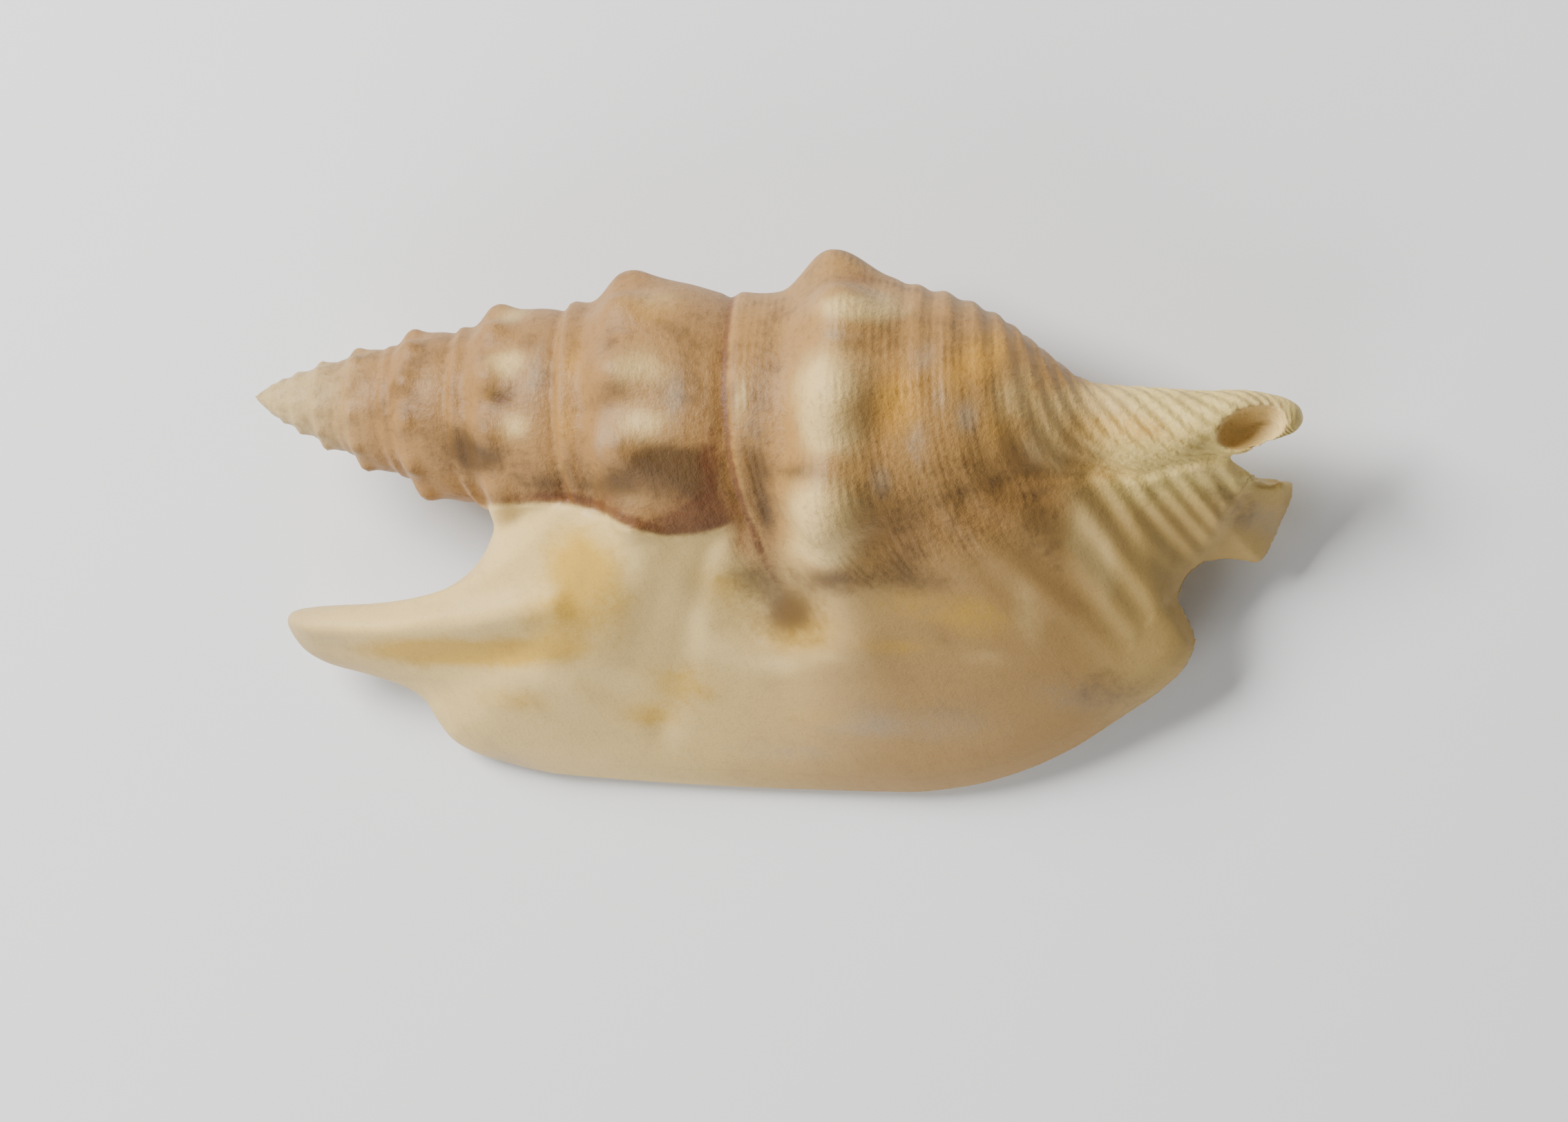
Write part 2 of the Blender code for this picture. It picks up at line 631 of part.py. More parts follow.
def ground_cutter():
    """A block under the shell; its top makes the flat spots that the shell rests on."""
    mesh = bmesh.new()
    bmesh.ops.create_cube(mesh, size=1.0)
    bmesh.ops.scale(mesh, verts=mesh.verts, vec=(0.2, 0.2, 0.02))
    data = bpy.data.meshes.new("ground")
    mesh.to_mesh(data)
    mesh.free()
    cutter = bpy.data.objects.new("ground", data)
    cutter.location = (0.0, 0.0, -0.01)
    return cutter


def combine(piece, tool, operation, solver="EXACT"):
    """Adds a Boolean with a tool object."""
    modifier = piece.modifiers.new(tool.name, "BOOLEAN")
    modifier.operation = operation
    modifier.object = tool
    modifier.solver = solver


def build():
    """The whole shell: coil and lip joined, the canal hollowed, thinned and set on its flats."""
    for item in list(bpy.data.objects):
        bpy.data.objects.remove(item, do_unlink=True)
    pieces = bpy.data.collections.new("seashell")
    tools = bpy.data.collections.new("cutters")
    bpy.context.scene.collection.children.link(pieces)
    bpy.context.scene.collection.children.link(tools)

    shell = sheet("shell", round(COIL_WHORLS * COIL_ROWS_PER_WHORL), COIL_COLUMNS, coil_place)
    lip = sheet("lip_form", LIP_ROWS, LIP_COLUMNS, lip_place)
    hollow = hollow_cutter()
    ground = ground_cutter()
    pieces.objects.link(shell)
    for tool in (lip, hollow, ground):
        tools.objects.link(tool)
        tool.hide_render = True
        tool.display_type = "WIRE"

    # The exact solver loses most of these two dense, almost tangent skins
    combine(shell, lip, "UNION", "MANIFOLD")
    combine(shell, hollow, "DIFFERENCE", "MANIFOLD")
    thin = shell.modifiers.new("thin", "DECIMATE")
    thin.decimate_type = "COLLAPSE"
    thin.ratio = KEPT
    combine(shell, ground, "DIFFERENCE")
    shell.data.materials.append(shell_material())


build()
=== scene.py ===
"""The looks of a strombid seashell with a long finger on its outer lip, lying aperture down.

Shell coordinates, in millimetres: s along the coiling axis from the apex, w sideways (+Y) and
h above the axis (+Z). An angle round the axis is 0 on the back, 90 at +Y, -90 at the lip.
"""

import math

import bpy
import numpy as np
from mathutils import Matrix, Vector


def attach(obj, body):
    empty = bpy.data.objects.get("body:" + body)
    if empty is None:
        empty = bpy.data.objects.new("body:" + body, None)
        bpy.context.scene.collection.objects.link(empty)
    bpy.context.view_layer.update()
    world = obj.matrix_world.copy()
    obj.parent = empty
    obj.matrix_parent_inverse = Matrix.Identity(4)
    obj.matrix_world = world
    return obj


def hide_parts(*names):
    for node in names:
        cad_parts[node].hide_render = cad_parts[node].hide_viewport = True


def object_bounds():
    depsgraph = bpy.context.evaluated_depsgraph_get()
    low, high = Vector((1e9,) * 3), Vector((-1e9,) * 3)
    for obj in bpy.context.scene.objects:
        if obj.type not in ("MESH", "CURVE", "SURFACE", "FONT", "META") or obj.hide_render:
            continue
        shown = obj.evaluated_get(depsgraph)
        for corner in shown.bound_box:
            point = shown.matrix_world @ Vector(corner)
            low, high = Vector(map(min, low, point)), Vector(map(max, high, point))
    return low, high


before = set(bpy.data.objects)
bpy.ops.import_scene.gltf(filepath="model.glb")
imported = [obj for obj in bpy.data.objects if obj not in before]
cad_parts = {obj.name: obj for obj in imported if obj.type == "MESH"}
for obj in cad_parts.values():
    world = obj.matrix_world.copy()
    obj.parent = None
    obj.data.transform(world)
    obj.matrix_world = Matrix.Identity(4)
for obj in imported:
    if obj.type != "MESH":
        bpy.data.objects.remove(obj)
solid_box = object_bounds()

MM = 0.001

# The coil: spire and last whorl with the canal, one spiral skin of shell grown round the axis. It is
# laid out as a grid whose rows follow the growth lines, so sutures, nodules and cords run along them.
LENGTH = 90.0
AXIS_HEIGHT = 11.15
AXIS_SIDE = 8.17
GROWTH = 1.53
SPREAD = 0.755
LAST_SUTURE = 41.0
STEADY_FROM = 61.0
CLOSING_FROM = 84.0
LAG = 0.16
LAG_AT = -60.0
LAG_SHARPNESS = 1.3
NODULE_AT = 32.87
NODULE_RADIUS = 11.76
NODULES_PER_TURN = 11
NODULE_PHASE = 18.0
NODULE_RELIEF = 0.10
NODULE_LEVEL = 0.42
NODULE_REACH = 0.17
SUTURE_DEPTH = 0.35
SUTURE_WIDTH = 0.5
SUTURE_FADE = 1.2
SPIRE_SWELL = 1.045
SIDE_SWELL = 0.02
LIP_SIDE_SWELL = 0.135
HIDDEN_SIDE_SWELL = 0.055

# Where the coil leaves the roof of the last whorl and turns into the inner wall
ROOF_ENDS = -45.0
INNER_WALL_STARTS = -98.0
SEAM_ANGLE = -105.0

# One spire whorl between its sutures, as a share of the radius over the nodules
WHORL = (
    (0.00, 0.81),
    (0.05, 0.86),
    (0.20, 0.81),
    (0.38, 0.90),
    (0.46, 0.90),
    (0.58, 0.885),
    (0.78, 0.865),
    (1.00, 0.80),
)
LAST_WHORL_DROOP = 0.087

# The last whorl from its suture to the tip of the canal at +Y: distance from the apex, radius
BODY = (
    (41.0, 9.94),
    (41.9, 10.5),
    (43.4, 10.4),
    (45.4, 10.5),
    (47.0, 11.2),
    (48.4, 11.7),
    (50.2, 11.9),
    (54.4, 11.8),
    (59.1, 11.1),
    (63.6, 9.5),
    (66.7, 7.5),
    (69.2, 5.65),
    (70.9, 4.5),
    (73.0, 4.05),
    (80.0, 3.9),
    (84.0, 3.3),
    (87.0, 2.3),
    (88.6, 1.7),
    (89.6, 1.05),
    (90.0, 0.0),
)
CANAL_BEND = 1.8
BODY_SHOULDER = 49.7
BODY_GROWTH = 0.23

# Where the row of knobs lies, by the turn after the one at +Y
SHOULDER_PATH = (
    (-0.70, 37.5),
    (-0.46, 40.6),
    (-0.25, 44.4),
    (0.0, 49.4),
    (0.08, 52.4),
    (0.13, 53.3),
    (0.19, 52.6),
)

# Knobs of the last whorl: angle, height, reach towards the apex, the canal and sideways, steepness
KNOBS = (
    (86.0, 2.4, 2.6, 3.9, 3.3, 2.3),
    (45.0, 2.6, 2.8, 3.7, 3.3, 2.4),
    (9.0, 3.0, 3.0, 3.5, 3.4, 2.5),
    (-33.0, 3.4, 3.5, 3.9, 4.0, 2.4),
    (127.0, 1.6, 2.6, 3.5, 3.0, 2.3),
    (164.0, 0.5, 2.6, 3.3, 2.8, 2.3),
)

# How far the canal draws in on the lip's side, above the lip and below it, and on its underside
ROOF_NARROWING = 0.62
WALL_NARROWING = 0.48
UNDER_NARROWING = 0.12

# Spiral cords round the front half of the last whorl: cords passed by a distance at +Y
CORDS_PASSED = ((50.0, -3.1), (56.9, 0.0), (63.6, 3.0), (69.2, 7.0), (72.5, 9.0), (90.0, 19.3))
CORD_RELIEF = 0.19
CORD_LEFT_AT_BACK = 0.06
CORD_SLANT = 0.6

# Over which distances the cords set in and die away again, and where they stand a quarter lower
CORDS_SET_IN = (53.0, 58.0)
CORDS_DIE_AWAY = (88.5, 84.0)
CORDS_LOWER = (70.0, 74.0)
LOWER_BY = 0.25

# Over which stretches each form of the coil sets in or fades, as s, and the droop as a whorl's share
DROOP_OVER = (0.55, 1.0)
LIP_HIDES_SIDE = (25.0, 33.0)
GROWTH_FADES = (62.0, 72.0)
ROOF_NARROWS = (76.0, 84.0)
ROOF_WIDENS = (86.0, 82.0)
WALL_NARROWS = (58.0, 74.0)
UNDER_NARROWS = (62.0, 74.0)
CANAL_BENDS = (80.0, 89.0)
SLANT_GROWS = (57.0, 86.0)
CORDS_ALL_ROUND = (60.0, 72.0)

# Steepest slope of the coil's back, where its sides run on straight down, and the growth lines there
SIDE_ANGLE = 55.0
LIP_CORD_SLOPE = 0.45
COIL_WHORLS = 12.25
COIL_BURIED = 8.5
COIL_ROWS_PER_WHORL = 90
COIL_COLUMNS = 200
APEX_CAP = 1.5
CANAL_CAP = 0.02
BACK_TRIES = 14


def smooth(low, high, x):
    """Rises softly from 0 at low to 1 at high."""
    share = np.clip((x - low) / (high - low), 0.0, 1.0)
    return share * share * (3.0 - 2.0 * share)


def through(points, x, column=1):
    """A smooth curve through points sorted by their first value, with no overshoot."""
    table = np.array(points, float)
    xs = table[:, 0]
    ys = table[:, column]
    gap = np.diff(xs)
    rise = np.diff(ys) / gap
    slope = np.zeros(len(xs))
    same_way = rise[:-1] * rise[1:] > 0
    mean = 2.0 * rise[:-1] * rise[1:] / np.where(same_way, rise[:-1] + rise[1:], 1.0)
    slope[1:-1] = np.where(same_way, mean, 0.0)
    slope[0] = rise[0]
    slope[-1] = rise[-1]
    x = np.clip(x, xs[0], xs[-1])
    cell = np.clip(np.searchsorted(xs, x, side="right") - 1, 0, len(gap) - 1)
    width = gap[cell]
    part = (x - xs[cell]) / width
    start = ys[cell] + width * part * (1.0 - part) ** 2 * slope[cell]
    bend = part * part * (3.0 - 2.0 * part) * (ys[cell + 1] - ys[cell])
    return start + bend + width * part * part * (part - 1.0) * slope[cell + 1]


def turn_at(angle):
    """Growth in turns after the one at +Y, for an angle round the axis; the lip's side lags."""
    side = 0.5 + 0.5 * np.cos(np.radians(angle - LAG_AT))
    return (90.0 - angle) / 360.0 - LAG * side**LAG_SHARPNESS


def distance_at(level):
    """Distance from the apex of a growth line, by its level in turns past the last suture."""
    pitch = STEADY_FROM * math.log(GROWTH)
    steady = math.log(STEADY_FROM / LAST_SUTURE) / math.log(GROWTH)
    closing = steady + (CLOSING_FROM - STEADY_FROM) / pitch
    rest = LENGTH - CLOSING_FROM
    spiral = LAST_SUTURE * GROWTH ** np.minimum(level, steady)
    straight = pitch * np.clip(level - steady, 0.0, closing - steady)
    return spiral + straight + rest * (1.0 - np.exp(-pitch * np.maximum(0.0, level - closing) / rest))


def level_at(s):
    """Growth level of a distance from the apex: the reverse of distance_at."""
    pitch = STEADY_FROM * math.log(GROWTH)
    rest = LENGTH - CLOSING_FROM
    s = np.clip(s, 1e-4, LENGTH - 1e-4)
    spiral = np.log(np.minimum(s, STEADY_FROM) / LAST_SUTURE) / math.log(GROWTH)
    straight = np.clip(s - STEADY_FROM, 0.0, CLOSING_FROM - STEADY_FROM) / pitch
    return spiral + straight - rest / pitch * np.log((LENGTH - np.maximum(s, CLOSING_FROM)) / rest)


def spire_radius(s, angle):
    """Radius of the coiled whorls over the apex end."""
    s = np.maximum(s, 1e-4)
    whorl = np.log(s / LAST_SUTURE) / math.log(GROWTH) - turn_at(angle)
    part = whorl - np.floor(whorl)
    over_nodules = NODULE_RADIUS * (s / NODULE_AT) ** SPREAD
    share = through(WHORL, part)
    share = share - LAST_WHORL_DROOP * smooth(*DROOP_OVER, part) * (whorl > -1.0)
    row = np.exp(-(((part - NODULE_LEVEL) / NODULE_REACH) ** 2))
    beat = 0.5 + 0.5 * np.cos(np.radians(NODULES_PER_TURN * (angle - NODULE_PHASE)))
    share = share + NODULE_RELIEF * row * beat
    width = SUTURE_WIDTH * s / LAST_SUTURE
    to_suture = np.minimum(part, 1.0 - part) * s * math.log(GROWTH)
    groove = SUTURE_DEPTH * (s / LAST_SUTURE) * np.exp(-((to_suture / width) ** 2))
    upward = np.sin(np.radians(angle))
    lip_side = LIP_SIDE_SWELL + (HIDDEN_SIDE_SWELL - LIP_SIDE_SWELL) * smooth(*LIP_HIDES_SIDE, s)
    swell = SPIRE_SWELL - SIDE_SWELL * upward + lip_side * np.maximum(0.0, -upward) ** 2
    return (over_nodules * share - groove) * swell


def knob_height(s, angle, shoulder):
    """Height of the big knobs that stand on the last whorl's shoulder."""
    total = np.zeros(np.broadcast(s, angle).shape)
    for centre, height, behind, ahead, aside, steepness in KNOBS:
        along = s - shoulder
        reach = np.where(along < 0.0, behind, ahead)
        turned = (angle - centre + 180.0) % 360.0 - 180.0
        across = np.radians(turned) * NODULE_RADIUS
        distance = np.sqrt((along / reach) ** 2 + (across / aside) ** 2)
        total = total + height * np.exp(-(distance**steepness))
    return total


def body_radius(s, angle, turn):
    """Radius of the last whorl and the canal, at a growth given by its turn."""
    suture = LAST_SUTURE * GROWTH**turn
    shoulder = through(SHOULDER_PATH, turn)
    behind = BODY[0][0] + (s - suture) / (shoulder - suture) * (BODY_SHOULDER - BODY[0][0])
    ahead = LENGTH - (LENGTH - s) / (LENGTH - shoulder) * (LENGTH - BODY_SHOULDER)
    level = np.where(s < shoulder, behind, ahead)
    size = 1.0 + BODY_GROWTH * turn * (1.0 - smooth(*GROWTH_FADES, s))
    lip_side = np.maximum(0.0, -np.sin(np.radians(angle)))
    roof = ROOF_NARROWING * smooth(*ROOF_NARROWS, s) * smooth(*ROOF_WIDENS, s)
    wall = WALL_NARROWING * smooth(*WALL_NARROWS, s)
    narrowing = np.where(turn > 0.0, roof, wall)
    size = size * (1.0 - narrowing * lip_side)
    under_side = np.maximum(0.0, -np.cos(np.radians(angle)))
    size = size * (1.0 - UNDER_NARROWING * smooth(*UNDER_NARROWS, s) * under_side)
    radius = through(BODY, level) * size
    start = np.where(s < suture, 0.0, s - suture)
    step = spire_radius(suture * (1.0 - 1e-5), angle) - BODY[0][1] * size
    return radius + step * np.exp(-start / SUTURE_FADE)


def cord_height(level_distance):
    """Height of the spiral cords, by the distance at which their growth line meets +Y."""
    window = smooth(*CORDS_SET_IN, level_distance)
    window = window * (1.0 - LOWER_BY * smooth(*CORDS_LOWER, level_distance))
    window = window * smooth(*CORDS_DIE_AWAY, level_distance)
    return CORD_RELIEF * window * np.cos(2.0 * math.pi * through(CORDS_PASSED, level_distance))


def cord_start(s, angle):
    """Distance at which a cord meets +Y, by a point it runs through; it slants more on the canal."""
    slant = CORD_SLANT * smooth(*SLANT_GROWS, s)
    return distance_at(level_at(s) - turn_at(angle) - slant * (90.0 - angle) / 360.0)


def cord_share(s, angle):
    """How strong the cords are: full at +Y and round the canal, weaker on the back."""
    full = np.maximum(smooth(*CORDS_ALL_ROUND, s), np.sin(np.radians(angle)))
    return CORD_LEFT_AT_BACK + (1.0 - CORD_LEFT_AT_BACK) * full


def layer_radius(s, angle, turn, corded):
    """One layer of the coil: spire before the suture, last whorl after it."""
    cords = cord_height(cord_start(s, angle)) * cord_share(s, angle)
    body = body_radius(s, angle, turn) + corded * cords
    return np.where(s < LAST_SUTURE * GROWTH**turn, spire_radius(s, angle), body)


def coil_radius(s, angle, corded=1.0):
    """Radius of the whole coil: the roof layer on the back, the inner wall below the lip."""
    s = np.asarray(s, float)
    roof_turn = turn_at(angle)
    roof = layer_radius(s, angle, roof_turn, corded)
    wall = layer_radius(s, angle, roof_turn - 1.0, 0.0)
    share = smooth(ROOF_ENDS, INNER_WALL_STARTS, angle)
    shoulder = through(SHOULDER_PATH, roof_turn)
    return (1.0 - share) * roof + share * wall + knob_height(s, angle, shoulder)


def canal_bend(s):
    """How far the canal's end bends away from the lip."""
    return CANAL_BEND * smooth(*CANAL_BENDS, s)


def coil_back(s, w):
    """Height of the coil's back over the axis without its cords, then where its cords start
    and how strong they are there.

    Past SIDE_ANGLE the back runs straight down its slope, and the cords run on slanting.
    """
    w = w - canal_bend(s)
    angle = np.zeros(np.broadcast(s, w).shape)
    for _ in range(BACK_TRIES):
        radius = coil_radius(s, angle, 0.0)
        angle = 0.5 * angle + 0.5 * np.degrees(np.arcsin(np.clip(w / radius, -0.999, 0.999)))
    steep = math.radians(SIDE_ANGLE)
    angle = np.clip(angle, -SIDE_ANGLE, SIDE_ANGLE)
    radius = coil_radius(s, angle, 0.0)
    round_part = np.sqrt(np.maximum(radius**2 - w**2, (radius * math.cos(steep)) ** 2))
    beyond = np.maximum(0.0, np.abs(w) - radius * math.sin(steep))
    started = cord_start(s, angle) - LIP_CORD_SLOPE * beyond
    strength = cord_share(s, angle) / np.maximum(0.8, np.cos(np.radians(angle)))
    return round_part - math.tan(steep) * beyond, started, strength


def coil_place(along, around):
    """Coil point: rows wind as a spiral, so that sutures and cords run along them."""
    angle = SEAM_ANGLE + 360.0 * around
    s = distance_at(COIL_WHORLS * along - COIL_BURIED + turn_at(angle))
    s = np.clip(s, APEX_CAP, LENGTH - CANAL_CAP)
    s = np.where(along < 1e-6, 0.0, np.where(along > 1.0 - 1e-6, LENGTH, s))
    angle = np.where(around > 1.0 - 1e-6, SEAM_ANGLE, angle)
    radius = np.where((s <= 0.0) | (s >= LENGTH), 0.0, coil_radius(s, angle))
    return s, radius * np.sin(np.radians(angle)) + canal_bend(s), radius * np.cos(np.radians(angle))


def grown_sheet(name, rows, columns, place):
    """A grid laid out by a function of its two shares, sewn where its edges meet and closed."""
    bpy.ops.object.select_all(action="DESELECT")
    bpy.ops.mesh.primitive_grid_add(x_subdivisions=rows, y_subdivisions=columns, size=1.0)
    piece = bpy.context.active_object
    piece.name = name
    shares = np.empty(3 * len(piece.data.vertices))
    piece.data.vertices.foreach_get("co", shares)
    shares = shares.reshape(-1, 3)
    s, w, h = place(shares[:, 0] + 0.5, shares[:, 1] + 0.5)
    points = np.column_stack([s - 0.5 * LENGTH, w + AXIS_SIDE, h + AXIS_HEIGHT]) * MM
    piece.data.vertices.foreach_set("co", points.ravel())
    bpy.ops.object.mode_set(mode="EDIT")
    bpy.ops.mesh.select_all(action="SELECT")
    bpy.ops.mesh.remove_doubles(threshold=1e-7)
    bpy.ops.mesh.fill_holes(sides=0)
    bpy.ops.mesh.quads_convert_to_tris()
    bpy.ops.mesh.normals_make_consistent(inside=False)
    bpy.ops.object.mode_set(mode="OBJECT")
    return piece


shell = grown_sheet("shell_skin", round(COIL_WHORLS * COIL_ROWS_PER_WHORL), COIL_COLUMNS, coil_place)

# The outer lip: the last growth of the shell, flared into a wide wing with a finger beside the
# spire and a notch before the canal. It is a thick sheet whose root is buried in the coil.

# The free edge of the outer lip, from the spire round the finger and the notch to the canal
LIP_EDGE = (
    (21.4, -8.4, 1.5),
    (21.6, -9.8, 0.6),
    (20.5, -12.3, -0.5),
    (18.5, -14.2, -1.6),
    (16.0, -15.5, -2.4),
    (12.0, -16.6, -3.2),
    (7.7, -16.9, -3.8),
    (4.3, -17.3, -4.4),
    (2.7, -17.8, -4.8),
    (2.4, -18.5, -5.0),
    (2.8, -19.5, -5.3),
    (3.9, -20.9, -5.8),
    (5.8, -21.9, -6.3),
    (9.2, -22.7, -7.0),
    (12.0, -23.5, -7.6),
    (13.8, -24.6, -8.1),
    (14.8, -26.2, -8.6),
    (16.2, -27.9, -9.2),
    (18.9, -29.1, -9.8),
    (25.9, -30.3, -10.4),
    (40.0, -30.6, -10.6),
    (54.8, -30.4, -10.5),
    (60.0, -29.7, -10.2),
    (64.7, -28.3, -9.7),
    (69.2, -26.2, -9.1),
    (73.4, -23.5, -8.2),
    (77.3, -20.8, -7.2),
    (79.4, -18.7, -6.5),
    (80.1, -17.0, -6.0),
    (79.6, -15.3, -5.5),
    (78.9, -13.8, -5.0),
    (79.1, -12.2, -5.0),
    (80.3, -10.6, -5.2),
    (82.2, -9.9, -5.8),
    (84.9, -10.1, -6.5),
    (85.6, -9.2, -6.4),
    (86.8, -6.6, -6.0),
    (87.8, -3.9, -5.4),
    (87.7, -3.1, -5.1),
    (86.8, -3.6, -4.8),
    (85.3, -3.6, -4.0),
    (85.0, -2.6, -1.8),
    (84.5, -2.3, -0.3),
    (84.2, -1.7, 0.8),
)

# The buried root of the lip and the point its skin bends towards on its way to the edge,
# by the share of the edge's length passed: root s, w and h, then bend s and w. Past the spire
# the root's height follows the coil's back instead.
LIP_ROOT = (
    (0.000, 24.5, -4.2, 3.2, 22.5, -6.5),
    (0.033, 25.5, -4.4, 3.8, 22.8, -9.5),
    (0.075, 27.5, -4.6, 4.6, 23.5, -13.5),
    (0.136, 30.0, -5.0, 5.4, 25.5, -16.0),
    (0.180, 32.0, -5.0, 5.8, 27.5, -18.0),
    (0.220, 34.0, -5.0, 6.4, 28.0, -20.0),
    (0.270, 36.5, -5.0, 7.2, 29.0, -21.0),
    (0.300, 38.2, -5.0, 7.8, 30.0, -20.9),
    (0.340, 40.2, -4.8, 8.4, 31.6, -20.5),
    (0.380, 42.0, -4.6, 9.2, 34.0, -20.0),
    (0.480, 46.0, -4.2, 9.6, 42.5, -18.0),
    (0.586, 54.5, -3.6, 9.2, 54.8, -17.0),
    (0.694, 63.5, -2.8, 6.9, 66.5, -14.5),
    (0.765, 69.5, -2.0, 4.0, 73.5, -11.4),
    (0.800, 72.5, -1.5, 3.2, 76.0, -9.2),
    (0.837, 75.0, -1.2, 3.0, 77.0, -6.8),
    (0.866, 77.0, -1.0, 2.9, 79.5, -5.5),
    (0.900, 79.0, -0.8, 2.7, 82.3, -4.6),
    (0.940, 81.0, -0.6, 2.5, 84.0, -2.4),
    (1.000, 83.0, -0.5, 2.3, 83.6, -1.1),
)

# Along the lip's edge: its thickness, how softly it meets the coil and how domed it is
LIP_THICKNESS = (
    (0.0, 1.6),
    (0.08, 2.4),
    (0.16, 3.4),
    (0.3, 3.4),
    (0.5, 3.6),
    (0.72, 3.2),
    (0.84, 1.8),
    (0.9, 1.3),
    (1.0, 1.2),
)
LIP_FILLET = (
    (0.0, 0.5),
    (0.1, 1.2),
    (0.27, 2.5),
    (0.32, 3.0),
    (0.38, 4.0),
    (0.5, 5.0),
    (0.72, 5.0),
    (0.85, 3.0),
    (1.0, 2.0),
)
LIP_DOME = (
    (0.0, 1.7),
    (0.22, 1.6),
    (0.45, 1.25),
    (0.5, 1.25),
    (0.6, 1.4),
    (0.72, 1.45),
    (0.8, 1.45),
    (1.0, 1.5),
)
LIP_SINK = 0.12
ROOT_SINK = 0.8
RIM_ROUNDING = 0.75
OUTLINE_POINTS = 220
COLUMNS_CROWDING = 1.6

# Where the lip comes out of the coil's back, as s and w, and how far it stands over the spire there
LAP_LINE = (
    (20.0, -8.3),
    (23.0, -8.1),
    (29.0, -7.6),
    (33.0, -8.3),
    (36.2, -9.5),
    (38.4, -9.9),
    (41.0, -9.6),
    (46.0, -8.0),
    (52.0, -7.0),
    (60.0, -6.0),
    (66.0, -4.4),
    (72.0, -2.3),
    (78.0, -1.8),
    (84.0, -1.0),
)
LAP_ON_SPIRE = 0.45
LAP_ON_BODY = 0.10
LAP_RISE_ON_SPIRE = 0.6
LAP_RISE_ON_BODY = 3.0
LAP_CORDS_KEPT = 0.75
RIBS_SET_IN = (-21.0, -12.0)
KNOB_FILLET = 0.4

# Over which stretches the lip's forms set in or fade: shares of its edge, of the coil's radius and of
# the rim, heights of a knob, s, and distances past the lap and past the step
ROOT_ON_COIL = (0.30, 0.40)
FILLET_ROUND_SIDE = (0.75, 1.1)
FILLET_ON_KNOB = (0.1, 0.8)
RIM_KEPT = (0.0, 0.25)
SPIRE_LAP_ENDS = (43.0, 39.0)
LAP_CORDS_FADE = (1.0, 6.0)
BESIDE_CANAL = (72.0, 76.0)
SMOOTH_STRIP = (3.4, 0.4)
PLATE_BARE = (-0.4, 0.1)

# The coil's back as the lip follows it: where its grid starts, reach, step and steepest flank
BACK_FROM = 14.0
BACK_REACH = 32.0
BACK_STEP = 0.25
EASED_SLOPE = 1.5
EASED_TIMES = 90
EASED_FROM = (42.0, 46.0)

# Low forms on the lip, along lines of points (s, w): line, half width, height; on the underside
# they show at a share of it
FINGER_RIDGE = ((3.5, -18.2), (9.7, -18.6), (14.8, -18.4), (21.0, -17.8), (28.0, -16.4))
FINGER_TROUGH = ((7.0, -21.4), (12.0, -21.6), (18.0, -20.9), (24.0, -20.0), (29.0, -21.4), (35.0, -25.4))
TROUGH_BANK = ((26.6, -22.7), (33.4, -25.7))
HOLLOW_RIDGE = ((38.6, -13.1), (39.3, -15.9), (41.4, -18.4), (44.5, -19.9), (49.9, -19.4), (54.0, -18.4))
KNOB_HOLLOW = ((46.5, -13.6), (50.5, -14.4))
LIP_FORMS = (
    (FINGER_RIDGE, 1.6, 1.1),
    (FINGER_TROUGH, 1.5, -0.5),
    (TROUGH_BANK, 1.6, 0.35),
    (HOLLOW_RIDGE, 2.0, 0.45),
    (KNOB_HOLLOW, 3.2, -1.0),
)
LIP_FORMS_BELOW = 0.4

# The step down to the plate beside the canal
STEP_LINE = ((85.2, -3.7), (81.4, -9.2))
STEP_DROP = 1.1
STEP_WIDTH = 0.35
STEP_FROM = 0.8
LIP_ROWS = 420
LIP_COLUMNS = 140


def back_layers():
    """The coil's back, the same with its steep flanks eased, and its cords' start and strength."""
    s, w = np.meshgrid(
        np.arange(BACK_FROM, LENGTH, BACK_STEP), -np.arange(0.0, BACK_REACH, BACK_STEP), indexing="ij"
    )
    back, started, strength = coil_back(s, w)
    eased = back.copy()
    for column in range(1, w.shape[1]):
        eased[:, column] = np.maximum(back[:, column], eased[:, column - 1] - EASED_SLOPE * BACK_STEP)
    on_body = smooth(*EASED_FROM, s)
    for _ in range(EASED_TIMES):
        padded = np.pad(eased, 1, mode="edge")
        around = padded[:-2, 1:-1] + padded[2:, 1:-1] + padded[1:-1, :-2] + padded[1:-1, 2:]
        eased = eased + on_body * (0.125 * around - 0.5 * eased)
    return back, eased, started, strength


def on_back(layer, s, w):
    """Value of one layer of the back at (s, w), between its grid points."""
    row = np.clip((s - BACK_FROM) / BACK_STEP, 0.0, layer.shape[0] - 1.001)
    column = np.clip(-w / BACK_STEP, 0.0, layer.shape[1] - 1.001)
    i = row.astype(int)
    j = column.astype(int)
    ahead = row - i
    aside = column - j
    near = layer[i, j] * (1.0 - ahead) + layer[i + 1, j] * ahead
    far = layer[i, j + 1] * (1.0 - ahead) + layer[i + 1, j + 1] * ahead
    return near * (1.0 - aside) + far * aside


def near_line(points, s, w):
    """Distance from (s, w) to a chain of points."""
    nearest = np.full(np.broadcast(s, w).shape, np.inf)
    for (s0, w0), (s1, w1) in zip(points[:-1], points[1:]):
        along = s1 - s0
        across = w1 - w0
        share = ((s - s0) * along + (w - w0) * across) / (along * along + across * across)
        share = np.clip(share, 0.0, 1.0)
        nearest = np.minimum(nearest, np.hypot(s - s0 - share * along, w - w0 - share * across))
    return nearest


